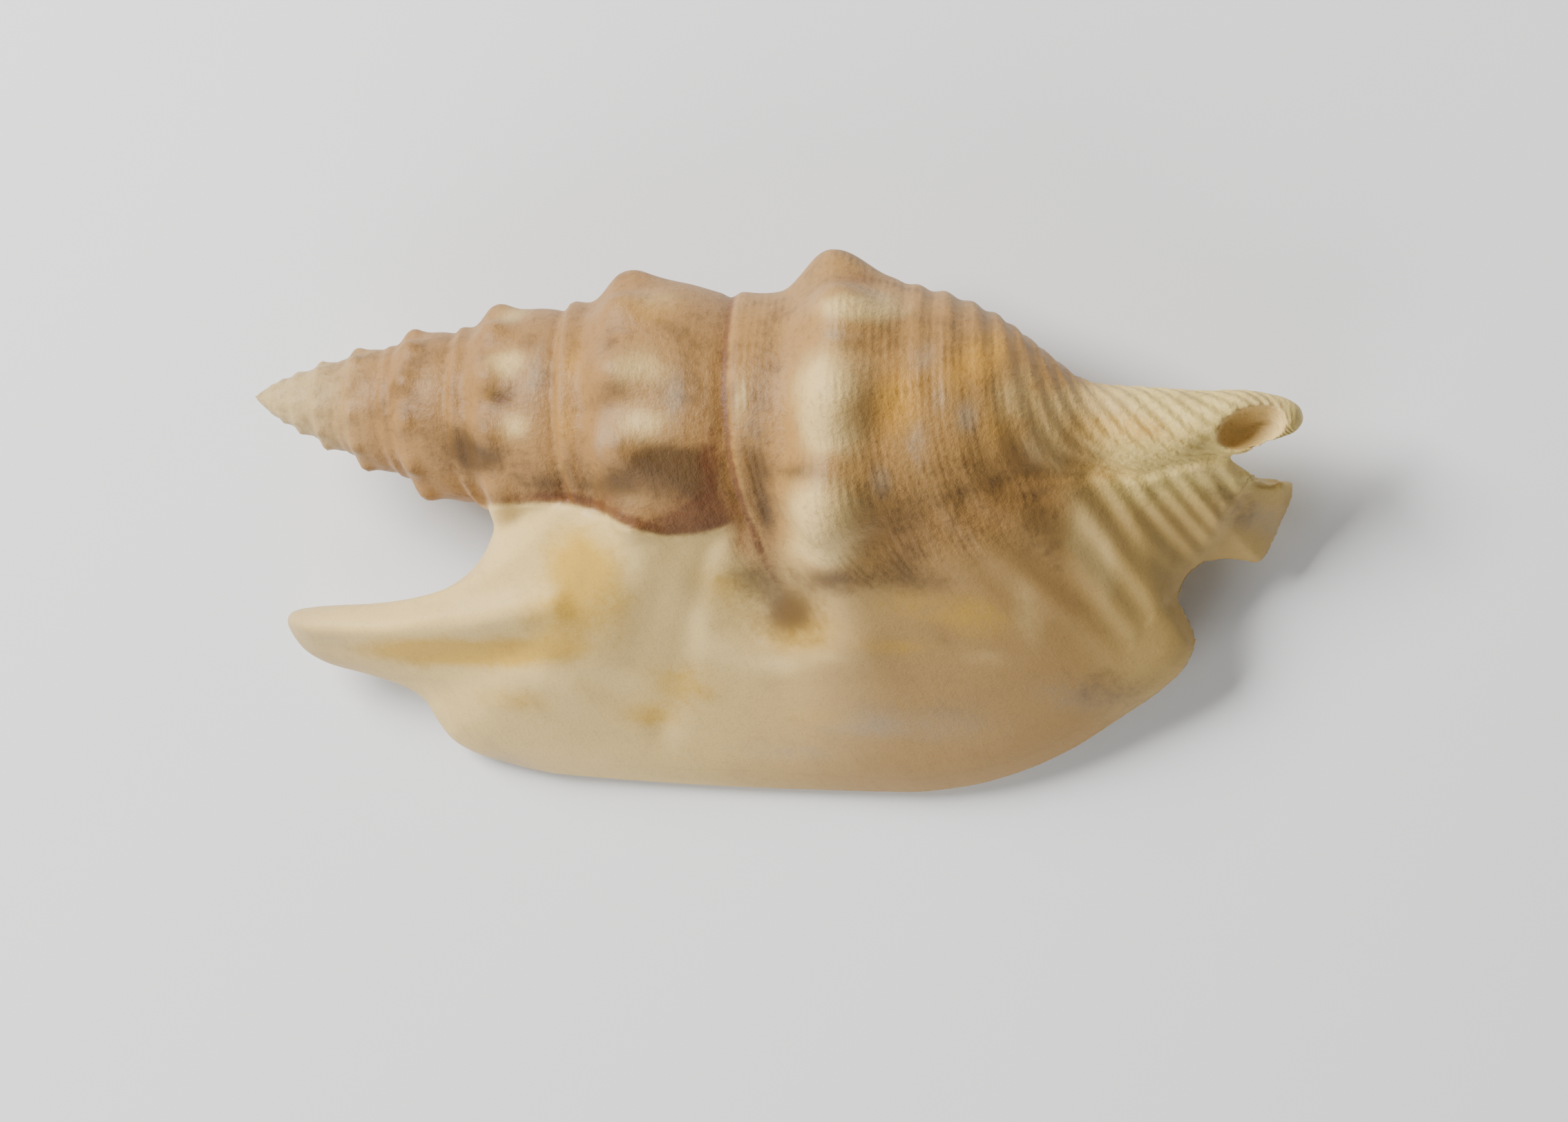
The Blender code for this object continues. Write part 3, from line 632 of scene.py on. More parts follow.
def past_step(s, w):
    """Distance past the step's line, on the side of the plate."""
    (s0, w0), (s1, w1) = STEP_LINE
    return ((s - s0) * (w0 - w1) + (w - w0) * (s1 - s0)) / math.hypot(s1 - s0, w1 - w0)


def lip_edge(share):
    """Point (s, w, h) of the lip's free edge, by the share of its length."""
    points = np.array(LIP_EDGE)
    passed = np.concatenate([[0.0], np.cumsum(np.linalg.norm(np.diff(points, axis=0), axis=1))])
    table = np.column_stack([passed / passed[-1], points])
    return [through(table, share, column) for column in (1, 2, 3)]


BACK, EASED_BACK, CORDS_STARTED, CORDS_STRENGTH = back_layers()


def lip_surface(out, share, side):
    """Point of the lip's skin: out from root (0) to edge (1), side +1 above and -1 below."""
    edge_s, edge_w, edge_h = lip_edge(share)
    root_s, root_w, root_h, bend_s, bend_w = [through(LIP_ROOT, share, column) for column in range(1, 6)]
    s = root_s * (1.0 - out) ** 2 + 2.0 * bend_s * out * (1.0 - out) + edge_s * out**2
    w = root_w * (1.0 - out) ** 2 + 2.0 * bend_w * out * (1.0 - out) + edge_w * out**2
    on_coil = smooth(*ROOT_ON_COIL, share)
    thick = through(LIP_THICKNESS, share)
    root_back = on_back(BACK, root_s, root_w)
    root_h = root_h + on_coil * (root_back - 0.5 * thick - ROOT_SINK - root_h)
    middle = edge_h + (root_h - edge_h) * (1.0 - out ** through(LIP_DOME, share))
    outline = list(zip(*lip_edge(np.linspace(0.0, 1.0, OUTLINE_POINTS))[:2]))
    inside = np.clip(near_line(outline, s, w) / (RIM_ROUNDING * thick), 0.0, 1.0)
    half = 0.5 * thick * np.sqrt(1.0 - (1.0 - inside) ** 2)
    away = smooth(0.0, 1.0, inside)
    forms = np.zeros(s.shape)
    for points, reach, height in LIP_FORMS:
        forms = forms + away * height * np.exp(-((near_line(points, s, w) / reach) ** 2))
    past = past_step(s, w)
    middle = middle - STEP_DROP * smooth(-STEP_WIDTH, STEP_WIDTH, past) * (share > STEP_FROM)
    below = middle - half + LIP_FORMS_BELOW * forms
    back = on_back(BACK, s, w)
    cords = on_back(CORDS_STRENGTH, s, w) * cord_height(on_back(CORDS_STARTED, s, w))
    top = middle + half + forms
    round_side = np.abs(w) / coil_radius(s, np.full(s.shape, -SIDE_ANGLE), 0.0)
    flank = np.full(s.shape, -SIDE_ANGLE)
    knob = knob_height(s, flank, through(SHOULDER_PATH, turn_at(flank)))
    on_knob = KNOB_FILLET * smooth(*FILLET_ON_KNOB, knob)
    softened = np.maximum(smooth(*FILLET_ROUND_SIDE, round_side), on_knob)
    fillet = through(LIP_FILLET, share) * (0.05 + 0.95 * softened)
    on_spire = smooth(*SPIRE_LAP_ENDS, s)
    lapped = on_back(EASED_BACK, s, w) + LAP_ON_BODY + (LAP_ON_SPIRE - LAP_ON_BODY) * on_spire
    blend = np.clip(1.0 - np.abs(lapped - top) / fillet, 0.0, 1.0)
    joined = np.maximum(top, lapped) + 0.25 * fillet * blend * blend
    joined = top + (joined - top) * smooth(*RIM_KEPT, inside)
    hidden = np.minimum(joined, back - LIP_SINK)
    rise = LAP_RISE_ON_BODY + (LAP_RISE_ON_SPIRE - LAP_RISE_ON_BODY) * on_spire
    past_lap = through(LAP_LINE, s) - w
    joined = hidden + (joined - hidden) * smooth(-0.5 * rise, 0.5 * rise, past_lap)
    kept = 1.0 - (1.0 - LAP_CORDS_KEPT) * smooth(*LAP_CORDS_FADE, past_lap)
    ribbed = smooth(*RIBS_SET_IN, w) * (1.0 - smooth(*BESIDE_CANAL, s) * smooth(*SMOOTH_STRIP, past_lap))
    joined = joined + kept * away * ribbed * (1.0 - smooth(*PLATE_BARE, past)) * cords
    return s, w, np.where(side > 0, joined, below)


def lip_place(along, around):
    """Lip point for shares of the edge's length and of the way round the section."""
    side = np.where(around < 0.5, 1.0, -1.0)
    way = np.where(around < 0.5, around / 0.5, (1.0 - around) / 0.5)
    out = 1.0 - (1.0 - way) ** COLUMNS_CROWDING
    s, w, h = lip_surface(out, along, side)
    closing = around > 1.0 - 1e-6
    top_s, top_w, top_h = lip_surface(np.zeros_like(out), along, np.ones_like(out))
    return np.where(closing, top_s, s), np.where(closing, top_w, w), np.where(closing, top_h, h)


lip = grown_sheet("lip_skin", LIP_ROWS, LIP_COLUMNS, lip_place)

# One piece of shell: coil and lip joined, the canal's end hollowed out like a spoon, and the whole
# skin drawn anew in small even faces so that no edge shows where the two sheets met.
HOLLOW_CENTRE = (86.2, 0.95, 2.5)
HOLLOW_RADII = (2.9, 1.7, 2.5)
HOLLOW_TURN = 22.0
FIRST_FACE = 0.17
SKIN_FACE = 0.265
SOFTENED = 2
FACES_KEPT = 0.54


def apply_modifier(piece, kind, **settings):
    """Adds one modifier with its settings and applies it."""
    bpy.ops.object.select_all(action="DESELECT")
    piece.select_set(True)
    bpy.context.view_layer.objects.active = piece
    bpy.ops.object.modifier_add(type=kind)
    modifier = piece.modifiers[-1]
    for setting, value in settings.items():
        setattr(modifier, setting, value)
    bpy.ops.object.modifier_apply(modifier=modifier.name)


hollow_s, hollow_w, hollow_h = HOLLOW_CENTRE
bpy.ops.object.select_all(action="DESELECT")
bpy.ops.mesh.primitive_uv_sphere_add(
    segments=48,
    ring_count=32,
    radius=MM,
    location=(
        (hollow_s - 0.5 * LENGTH) * MM,
        (hollow_w + AXIS_SIDE) * MM,
        (hollow_h + AXIS_HEIGHT) * MM,
    ),
    rotation=(0.0, 0.0, math.radians(HOLLOW_TURN)),
    scale=HOLLOW_RADII,
)
spoon = bpy.context.active_object
bpy.ops.object.select_all(action="DESELECT")
lip.select_set(True)
shell.select_set(True)
bpy.context.view_layer.objects.active = shell
bpy.ops.object.join()
apply_modifier(shell, "REMESH", mode="VOXEL", voxel_size=FIRST_FACE * MM)
apply_modifier(shell, "BOOLEAN", operation="DIFFERENCE", object=spoon, solver="MANIFOLD")
bpy.data.objects.remove(spoon, do_unlink=True)
apply_modifier(shell, "REMESH", mode="VOXEL", voxel_size=SKIN_FACE * MM, use_smooth_shade=True)
apply_modifier(shell, "SMOOTH", factor=0.5, iterations=SOFTENED)
apply_modifier(shell, "DECIMATE", ratio=FACES_KEPT)

# The markings, painted by place, and among them some painted shade and painted light: patches of each
# tone as (s, w, reach along s, reach along w, amount), laid over a ground that runs from the pinkish
# spire over the tan last whorl to the creamy lip.
OCHRE = (
    (58.6, 1.7, 2.0, 3.0, 0.8),
    (65.2, 6.2, 1.8, 2.2, 0.7),
    (66.6, 0.2, 1.4, 2.0, 0.4),
    (63.2, 4.5, 1.6, 2.2, 0.45),
    (68.9, 3.4, 1.2, 1.6, 0.15),
    (48.2, -17.0, 4.2, 2.8, 0.6),
    (63.6, -15.6, 3.0, 1.7, 0.5),
    (58.2, -14.7, 3.0, 1.4, 0.35),
    (30.1, -12.5, 3.2, 3.0, 0.8),
    (29.0, -17.0, 3.6, 2.0, 0.55),
    (22.5, -20.3, 5.0, 1.1, 1.0),
    (16.7, -20.5, 4.0, 1.0, 0.9),
    (28.3, -19.4, 3.4, 1.2, 0.6),
    (32.6, -14.4, 3.2, 3.2, 0.45),
    (37.4, -22.3, 3.4, 1.6, 0.65),
    (34.1, -24.9, 3.0, 1.1, 0.65),
    (23.7, -24.1, 4.0, 1.0, 0.4),
    (13.0, -20.6, 4.0, 0.9, 0.5),
    (42.0, -13.9, 1.8, 1.5, 0.5),
    (76.3, 0.5, 4.4, 1.6, 0.5),
    (74.5, -3.4, 3.2, 1.2, 0.35),
    (29.8, 3.5, 1.1, 2.6, 0.45),
    (29.9, -1.2, 1.1, 1.9, 0.4),
    (23.5, 0.8, 1.0, 0.6, 1.0),
    (35.9, 8.8, 3.0, 1.6, 0.4),
    (57.0, -18.3, 3.4, 0.8, 0.35),
    (49.7, -24.5, 4.0, 0.9, 0.3),
)
BROWN_AND_SHADE = (
    (23.6, 0.8, 1.5, 1.0, 1.0),
    (20.0, -3.5, 2.6, 2.2, 0.9),
    (22.4, -4.6, 2.2, 1.4, 0.7),
    (27.6, -6.2, 2.2, 1.2, 0.8),
    (27.5, 1.9, 1.0, 3.6, 0.3),
    (15.8, 3.8, 1.2, 1.8, 0.45),
    (16.7, -1.2, 1.3, 1.8, 0.45),
    (14.3, 0.4, 1.2, 2.2, 0.25),
    (34.4, 1.7, 1.6, 1.3, 0.65),
    (38.5, -3.7, 2.8, 1.6, 1.1),
    (41.7, -5.4, 1.8, 2.6, 1.1),
    (34.3, -6.2, 3.2, 1.8, 0.9),
    (40.1, 4.7, 1.3, 3.0, 0.45),
    (33.1, 5.8, 1.2, 1.8, 0.35),
    (46.6, 3.2, 1.5, 5.0, 0.6),
    (46.1, -4.2, 1.6, 2.8, 0.65),
    (50.8, -4.3, 2.6, 0.9, 0.8),
    (46.8, -8.3, 1.2, 3.0, 0.8),
    (44.9, -12.9, 2.4, 1.6, 0.5),
    # Painted shade in the hollow under the lowest big knob
    (47.8, -15.8, 3.6, 2.7, 1.0),
    (52.5, -12.8, 3.0, 1.3, 0.8),
    (59.3, -8.3, 3.2, 3.0, 0.6),
    (58.5, -12.6, 3.6, 1.6, 0.55),
    (67.0, -5.1, 2.8, 2.6, 0.35),
    (68.7, -9.0, 1.6, 2.6, 0.45),
    (63.6, -5.5, 3.0, 2.4, 0.35),
    (54.4, 6.3, 2.0, 0.8, 0.5),
    (56.4, -0.0, 0.8, 3.0, 0.35),
    # Painted shade along the step down to the plate beside the canal: this patch and the next
    (82.3, -4.4, 2.0, 0.9, 0.45),
    (84.0, -6.0, 1.4, 1.8, 0.45),
    (39.4, -6.0, 3.0, 1.5, 0.35),
    (60.8, -17.1, 1.6, 1.1, 0.3),
    (70.5, -10.9, 0.8, 2.4, 0.3),
    (36.6, -11.9, 3.0, 1.2, 0.2),
    (73.0, -21.0, 3.6, 1.8, 0.4),
    (58.8, -23.4, 6.0, 1.3, 0.25),
)
RUST = (
    (41.9, -7.8, 2.4, 1.3, 1.0),
    (39.5, -8.9, 2.4, 0.9, 0.8),
    (42.5, -4.4, 0.9, 3.0, 0.7),
    (34.1, -7.4, 2.0, 0.8, 0.5),
    (21.3, 5.2, 1.0, 2.0, 0.25),
    (23.9, 0.5, 0.7, 0.4, 0.6),
    (52.5, 11.8, 2.4, 0.8, 0.5),
    (29.0, -6.6, 1.4, 0.8, 0.4),
)
PALE_AND_LIGHT = (
    (24.0, 3.6, 1.7, 1.2, 0.75),
    (25.3, -1.6, 1.6, 1.2, 0.6),
    (22.8, 7.7, 1.6, 0.9, 0.45),
    (36.4, 3.8, 2.6, 1.7, 0.6),
    (36.8, -0.9, 2.6, 1.6, 0.6),
    (35.9, 9.2, 2.4, 1.1, 0.35),
    (35.6, -7.2, 2.0, 0.8, 0.25),
    (52.8, 2.4, 3.0, 3.2, 1.1),
    (53.2, -1.4, 2.4, 1.5, 0.7),
    (54.3, 9.4, 3.2, 1.2, 0.9),
    (52.3, -7.9, 3.3, 2.8, 1.0),
    (51.6, -10.6, 2.8, 1.5, 0.75),
    (17.1, 1.9, 1.0, 1.2, 0.15),
    (45.0, 1.6, 0.6, 2.4, 0.45),
    (39.5, -16.3, 1.0, 2.4, 0.6),
    (41.3, -19.0, 1.8, 1.2, 0.75),
    (45.5, -20.3, 3.4, 0.9, 0.75),
    (51.1, -19.4, 3.0, 0.8, 0.4),
    (22.7, -11.3, 2.6, 3.0, 0.5),
    (10.6, -18.4, 7.0, 1.1, 0.6),
    (27.0, -29.0, 5.0, 1.4, 0.9),
    (34.6, -31.0, 6.0, 0.9, 0.6),
    (32.8, -22.0, 3.0, 1.0, 0.7),
    (28.4, -22.5, 3.4, 1.0, 0.8),
    (72.4, -8.2, 1.1, 3.0, 0.7),
    (67.9, -15.0, 1.3, 2.8, 0.45),
    (64.1, -19.0, 2.4, 0.9, 0.3),
    (73.5, 2.9, 3.2, 1.5, 0.5),
    (87.0, 2.6, 2.6, 1.2, 0.5),
    (83.0, -2.6, 3.0, 0.9, 0.5),
    (20.4, -17.6, 4.0, 1.4, 0.35),
    # Painted light on the right slope of the last whorl and on the lip's rib below it, where the lamps
    # leave shade: this patch and the next two
    (70.4, -0.6, 2.0, 3.6, 0.5),
    (67.4, 2.8, 1.6, 3.0, 0.45),
    (74.0, -10.6, 1.0, 2.8, 0.8),
    (30.2, -24.4, 3.8, 1.5, 0.7),
)
GREY = (
    (60.2, -1.5, 1.0, 2.0, 0.55),
    (60.1, 5.5, 1.1, 1.5, 0.5),
    (64.1, 0.8, 0.9, 1.6, 0.55),
    (61.9, 2.2, 0.7, 1.2, 0.35),
    (68.9, -1.5, 0.9, 1.8, 0.3),
    (26.6, 3.0, 1.1, 2.6, 0.45),
    (39.5, 1.3, 1.1, 2.6, 0.5),
    (33.5, -2.3, 1.1, 1.8, 0.4),
    (20.9, -29.5, 4.5, 1.1, 0.6),
    (57.9, -24.4, 7.8, 2.0, 0.35),
    (71.6, -21.6, 5.0, 1.8, 0.35),
    (45.4, -27.5, 5.8, 1.0, 0.3),
    (45.9, -1.0, 1.2, 2.4, 0.35),
    (85.6, -6.8, 2.6, 1.6, 0.6),
    (7.4, -19.5, 1.9, 0.9, 0.3),
    (57.4, -4.9, 1.0, 1.6, 0.4),
    (53.5, 7.1, 2.6, 0.6, 0.3),
    (52.0, -25.0, 4.0, 0.9, 0.3),
)
GROUND_LEVEL = 0.0

# Where paint sets in, as pairs of the value without it and the value with all of it. Upward is 1 on
# the back and -1 on the underside; angles are round the axis.
SPIRE_ENDS = (44.5, 42.5)
LIP_RIM_SOFTENS = (42.0, 47.0)
LAP_SHADOW_FROM = (21.0, 30.0)
FACING_UP = (-0.2, 0.2)
SEEN_FROM_ABOVE = (-0.35, 0.15)
CANAL_RIBBED = (72.0, 78.0)
CANAL_PALES = (70.0, 77.0)
LIP_DARKENS_BY_CANAL = (36.0, 60.0)
APEX_PALES = (13.0, 2.0)
CALLUS_ROUND = (188.0, 212.0)
CALLUS_FROM = (36.0, 42.0)
CALLUS_UNTIL = (84.0, 76.0)

# The painted shadow under the lap of the lip and the dark lines along the sutures: offset, half width;
# then strength
LAP_SHADOW_AT = -0.35
LAP_SHADOW_WIDTH = 0.55
SUTURE_STAIN_AT = 0.1
SUTURE_STAIN_WIDTH = 0.32
SUTURE_STAIN = 0.85

# The canal's hollow: ochre towards the apex, pale all over as painted light against the shade in it, and
# palest at the tip
HOLLOW_EDGE = (1.12, 1.0)
HOLLOW_OCHRE = 0.35
HOLLOW_PAINTED_LIGHT = 0.8
HOLLOW_TIP_PALE = 0.15


def dabbed(patches, s, w):
    """Amount of one tone at each place."""
    amount = np.zeros(len(s))
    for s0, w0, reach_s, reach_w, strength in patches:
        amount = amount + strength * np.exp(-(((s - s0) / reach_s) ** 2) - ((w - w0) / reach_w) ** 2)
    return np.clip(amount, 0.0, 1.0)


count = len(shell.data.vertices)
points = np.empty(3 * count)
normals = np.empty(3 * count)
shell.data.vertices.foreach_get("co", points)
shell.data.vertices.foreach_get("normal", normals)
points = points.reshape(-1, 3)
upward = normals.reshape(-1, 3)[:, 2]
points[:, 2] = np.maximum(points[:, 2], GROUND_LEVEL)
points = np.clip(points, np.array(solid_box[0]), np.array(solid_box[1]))
shell.data.vertices.foreach_set("co", points.ravel())
shell.data.update()

# Each vertex in shell coordinates, round the axis, and against the lip, the lap and the suture
s = points[:, 0] / MM + 0.5 * LENGTH
w = points[:, 1] / MM - AXIS_SIDE
h = points[:, 2] / MM - AXIS_HEIGHT
angle = np.degrees(np.arctan2(w - canal_bend(s), h))
angle = SEAM_ANGLE + (angle - SEAM_ANGLE) % 360.0
from_axis = np.hypot(w - canal_bend(s), h)
rim_ends = 1.2 + 4.0 * smooth(*LIP_RIM_SOFTENS, s)
on_lip = smooth(0.3, rim_ends, from_axis - coil_radius(s, angle)) * smooth(-2.0, -5.0, w)
past_lap = through(LAP_LINE, s) - w
over_spire = smooth(0.0, 2.0, h) * smooth(*SPIRE_ENDS, s)
on_lip = on_lip + (smooth(-0.25, 0.25, past_lap) - on_lip) * over_spire
on_roof = smooth(-1.0, 1.0, past_lap) * smooth(*FACING_UP, upward)
from_suture = s - LAST_SUTURE * GROWTH ** turn_at(angle)
seen = smooth(*SEEN_FROM_ABOVE, upward)

# The canal's hollow, in its own turned directions
hollow_turn = math.radians(HOLLOW_TURN)
turned_s = (s - hollow_s) * math.cos(hollow_turn) + (w - hollow_w) * math.sin(hollow_turn)
turned_w = (w - hollow_w) * math.cos(hollow_turn) - (s - hollow_s) * math.sin(hollow_turn)
deep = np.hypot(turned_s / HOLLOW_RADII[0], turned_w / HOLLOW_RADII[1])
deep = smooth(*HOLLOW_EDGE, np.hypot(deep, (h - hollow_h) / HOLLOW_RADII[2]))
hollow_ochre = HOLLOW_OCHRE * deep * smooth(0.6, -0.6, turned_s)
hollow_pale_and_light = deep * (HOLLOW_PAINTED_LIGHT + HOLLOW_TIP_PALE * smooth(-0.6, 0.8, turned_s))

# The cords' crispness: where each one starts, and how strong it is on the coil and on the lip
started = cord_start(s, angle)
started = started + (on_back(CORDS_STARTED, s, w) - started) * on_roof
corded = cord_share(s, angle)
corded = corded + (LAP_CORDS_KEPT * smooth(*RIBS_SET_IN, w) - corded) * on_roof
corded = corded * smooth(*CORDS_SET_IN, started) * smooth(*CORDS_DIE_AWAY, started)
corded = corded * np.maximum(smooth(-0.3, 0.1, upward), smooth(60.0, 70.0, angle))
corded = corded * (1.0 - deep) * (1.0 - smooth(-0.3, 0.1, past_step(s, w)) * on_roof)
corded = corded * np.maximum(on_roof, smooth(*CANAL_RIBBED, s))

# The painted shadow under the lap of the lip, the stains along the sutures, the way the threads run, and
# the smooth parts of the underside
lap_shadow = np.exp(-(((past_lap - LAP_SHADOW_AT) / LAP_SHADOW_WIDTH) ** 2))
lap_shadow = lap_shadow * smooth(*LAP_SHADOW_FROM, s) * over_spire
sutured = np.exp(-(((from_suture - SUTURE_STAIN_AT) / SUTURE_STAIN_WIDTH) ** 2))
sutured = SUTURE_STAIN * sutured * (1.0 - on_lip)
lip_growth = distance_at(level_at(s) - turn_at(np.maximum(angle, -SIDE_ANGLE)))
lip_growth = lip_growth - LIP_CORD_SLOPE * np.maximum(0.0, -w - 9.0)
under_lip = on_lip * smooth(0.1, -0.3, upward)
callus = smooth(*CALLUS_ROUND, angle) * smooth(*CALLUS_FROM, s) * smooth(*CALLUS_UNTIL, s)
tones = {
    "growth": distance_at(level_at(s) - turn_at(angle)) * (1.0 - on_lip) + lip_growth * on_lip,
    "turned": np.radians(angle) * from_axis * (1.0 - on_lip) + w * on_lip,
    "spire": smooth(0.6, -0.6, from_suture) * (1.0 - on_lip),
    "lip": on_lip,
    # The lip turns from cream to beige towards its canal end and its rim
    "lip_darker_by_canal": smooth(*LIP_DARKENS_BY_CANAL, s - 0.5 * w - 10.0),
    "glaze": np.clip(under_lip + callus * (1.0 - on_lip), 0.0, 1.0),
    "canal": smooth(*CANAL_PALES, s) * (1.0 - 0.7 * on_lip),
    "cord": through(CORDS_PASSED, started),
    "corded": corded,
    "apex": smooth(*APEX_PALES, s),
    "ochre": np.maximum(dabbed(OCHRE, s, w), hollow_ochre) * seen,
    # Brown markings, with painted shade in the hollow under the lowest knob and along the step
    "brown_and_shade": dabbed(BROWN_AND_SHADE, s, w) * seen * (1.0 - deep),
    # Rusty patches and dark suture lines, with the painted shadow under the lap of the lip
    "rust_and_shadow": np.maximum(np.maximum(dabbed(RUST, s, w), lap_shadow), sutured) * seen,
    # Pale markings, with painted light on shaded slopes and in the canal's hollow
    "pale_and_light": np.maximum(dabbed(PALE_AND_LIGHT, s, w), hollow_pale_and_light) * seen,
    "grey": dabbed(GREY, s, w) * seen,
}
for tone, amounts in tones.items():
    layer = shell.data.attributes.new(tone, "FLOAT", "POINT")
    layer.data.foreach_set("value", amounts)

# Shell substance: chalky, a little translucent and satin, with fine threads along the growth lines,
# mottling and grain; the callus and the lip's inside are smoother and glossier.
SAND = (0.385, 0.20, 0.056, 1.0)
TAN = (0.36, 0.195, 0.056, 1.0)
PINKISH = (0.335, 0.175, 0.054, 1.0)
CREAM = (0.69, 0.485, 0.18, 1.0)
BEIGE = (0.41, 0.24, 0.078, 1.0)
BUTTER = (0.70, 0.52, 0.165, 1.0)
OCHRE_TONE = (0.60, 0.30, 0.045, 1.0)
HONEY_TONE = (0.61, 0.35, 0.026, 1.0)
# Dark brown for the markings and for painted shade
BROWN_AND_SHADE_TONE = (0.090, 0.045, 0.012, 1.0)
# Rust red, also used for the painted shadow under the lap of the lip
RUST_AND_SHADOW_TONE = (0.12, 0.036, 0.009, 1.0)
# Pale cream for the pale markings and for painted light
PALE_AND_LIGHT_TONE = (0.75, 0.525, 0.205, 1.0)
GREY_TONE = (0.42, 0.32, 0.21, 1.0)
APEX_TONE = (0.52, 0.37, 0.165, 1.0)
IVORY = (0.86, 0.70, 0.47, 1.0)
THREAD_PITCH = 0.62
LIP_MOTTLING = 0.25
ROUGHNESS = 0.40
SPECK_ROUGHNESS = 0.16
GLAZE_SMOOTHNESS = 0.18
BUMP_STRENGTH = 0.8

finish = bpy.data.materials.new("shell_substance")
finish.use_nodes = True
nodes = finish.node_tree.nodes
links = finish.node_tree.links
shader = nodes["Principled BSDF"]
shader.inputs["Metallic"].default_value = 0.0
shader.inputs["Subsurface Weight"].default_value = 0.08
shader.inputs["Subsurface Radius"].default_value = (1.0, 0.6, 0.35)
shader.inputs["Subsurface Scale"].default_value = 0.0012
shader.inputs["Specular IOR Level"].default_value = 0.3


def painted(tone):
    """Amount of one tone, as painted on the skin."""
    reader = nodes.new("ShaderNodeAttribute")
    reader.attribute_name = tone
    return reader.outputs["Fac"]


def figure(operation, first, second=0.0, third=0.0):
    """One sum on numbers or sockets."""
    step = nodes.new("ShaderNodeMath")
    step.operation = operation
    for socket, value in zip(step.inputs, (first, second, third)):
        if isinstance(value, (int, float)):
            socket.default_value = value
        else:
            links.new(value, socket)
    return step.outputs[0]


def cloud(size, detail=4.0, roughness=0.55, place=None):
    """Soft noise whose blots are about this many millimetres across."""
    noise = nodes.new("ShaderNodeTexNoise")
    noise.inputs["Scale"].default_value = 1.0 / (size * MM)
    noise.inputs["Detail"].default_value = detail
    noise.inputs["Roughness"].default_value = roughness
    links.new(place or where.outputs["Object"], noise.inputs["Vector"])
    return noise.outputs["Fac"]


def between(amount, low_end, high_end):
    """Turns low_end into 0 and high_end into 1, softly."""
    step = nodes.new("ShaderNodeMapRange")
    step.interpolation_type = "SMOOTHSTEP"
    links.new(amount, step.inputs["Value"])
    step.inputs["From Min"].default_value = low_end
    step.inputs["From Max"].default_value = high_end
    return step.outputs["Result"]


def tinted(ground, colour, amount):
    """Lays one colour over the ground."""
    mix = nodes.new("ShaderNodeMix")
    mix.data_type = "RGBA"
    links.new(amount, mix.inputs["Factor"])
    for socket, value in ((mix.inputs[6], ground), (mix.inputs[7], colour)):
        if isinstance(value, tuple):
            socket.default_value = value
        else:
            links.new(value, socket)
    return mix.outputs[2]


where = nodes.new("ShaderNodeTexCoord")
along_growth = nodes.new("ShaderNodeCombineXYZ")
links.new(figure("MULTIPLY", painted("growth"), MM), along_growth.inputs["X"])
links.new(figure("MULTIPLY", painted("turned"), 0.25 * MM), along_growth.inputs["Y"])
broad = cloud(9.0)
blots = cloud(2.6, detail=6.0, roughness=0.6)
specks = cloud(0.7, detail=5.0, roughness=0.65)
grain = cloud(0.22, detail=3.0, roughness=0.6)
streaks = cloud(0.8, detail=4.0, roughness=0.6, place=along_growth.outputs["Vector"])

ground = tinted(SAND, TAN, between(broad, 0.35, 0.65))
ground = tinted(ground, PINKISH, painted("spire"))
# The lip, from cream to beige towards its canal end and its rim
ground = tinted(ground, tinted(CREAM, BEIGE, painted("lip_darker_by_canal")), painted("lip"))
ground = tinted(ground, BUTTER, painted("canal"))
ground = tinted(ground, APEX_TONE, painted("apex"))


def broken(tone, spread):
    """A painted tone whose rim is broken up by the blots and specks."""
    rough = figure("ADD", figure("MULTIPLY", blots, 0.65), figure("MULTIPLY", specks, 0.35))
    rough = figure("MULTIPLY", figure("SUBTRACT", rough, 0.5), spread)
    edge = figure("MULTIPLY", rough, between(painted(tone), 0.0, 0.3))
    return between(figure("ADD", painted(tone), edge), 0.0, 0.85)


yellow = tinted(OCHRE_TONE, HONEY_TONE, painted("lip"))
bare = figure("MULTIPLY_ADD", painted("lip"), LIP_MOTTLING - 1.0, 1.0)
# The fullest brown patches are darkened further, which deepens the painted shade in the hollow under the
# lowest big knob
brown_and_shade_heart = figure("MULTIPLY", between(painted("brown_and_shade"), 0.5, 1.0), 0.32)
brown_and_shade_patch = figure("MULTIPLY_ADD", broken("brown_and_shade", spread=1.4), 0.60, brown_and_shade_heart)

# Coats laid over the ground one after another: colour, where it lies, how much of it shows
coats = (
    (GREY_TONE, broken("grey", spread=1.2), 0.75),
    (yellow, broken("ochre", spread=1.2), 0.85),
    (BROWN_AND_SHADE_TONE, figure("MULTIPLY", between(blots, 0.48, 0.70), bare), 0.34),
    (BROWN_AND_SHADE_TONE, brown_and_shade_patch, 1.0),
    # Pale markings, with painted light on shaded slopes and in the canal's hollow
    (PALE_AND_LIGHT_TONE, broken("pale_and_light", spread=0.9), 0.85),
    # Rusty patches and suture lines, and the painted shadow under the lap of the lip
    (RUST_AND_SHADOW_TONE, broken("rust_and_shadow", spread=1.2), 0.75),
    (BROWN_AND_SHADE_TONE, figure("MULTIPLY", between(specks, 0.50, 0.70), bare), 0.26),
    (BROWN_AND_SHADE_TONE, between(streaks, 0.55, 0.75), 0.10),
    (BROWN_AND_SHADE_TONE, between(grain, 0.50, 0.75), 0.14),
    (IVORY, painted("glaze"), 1.0),
)
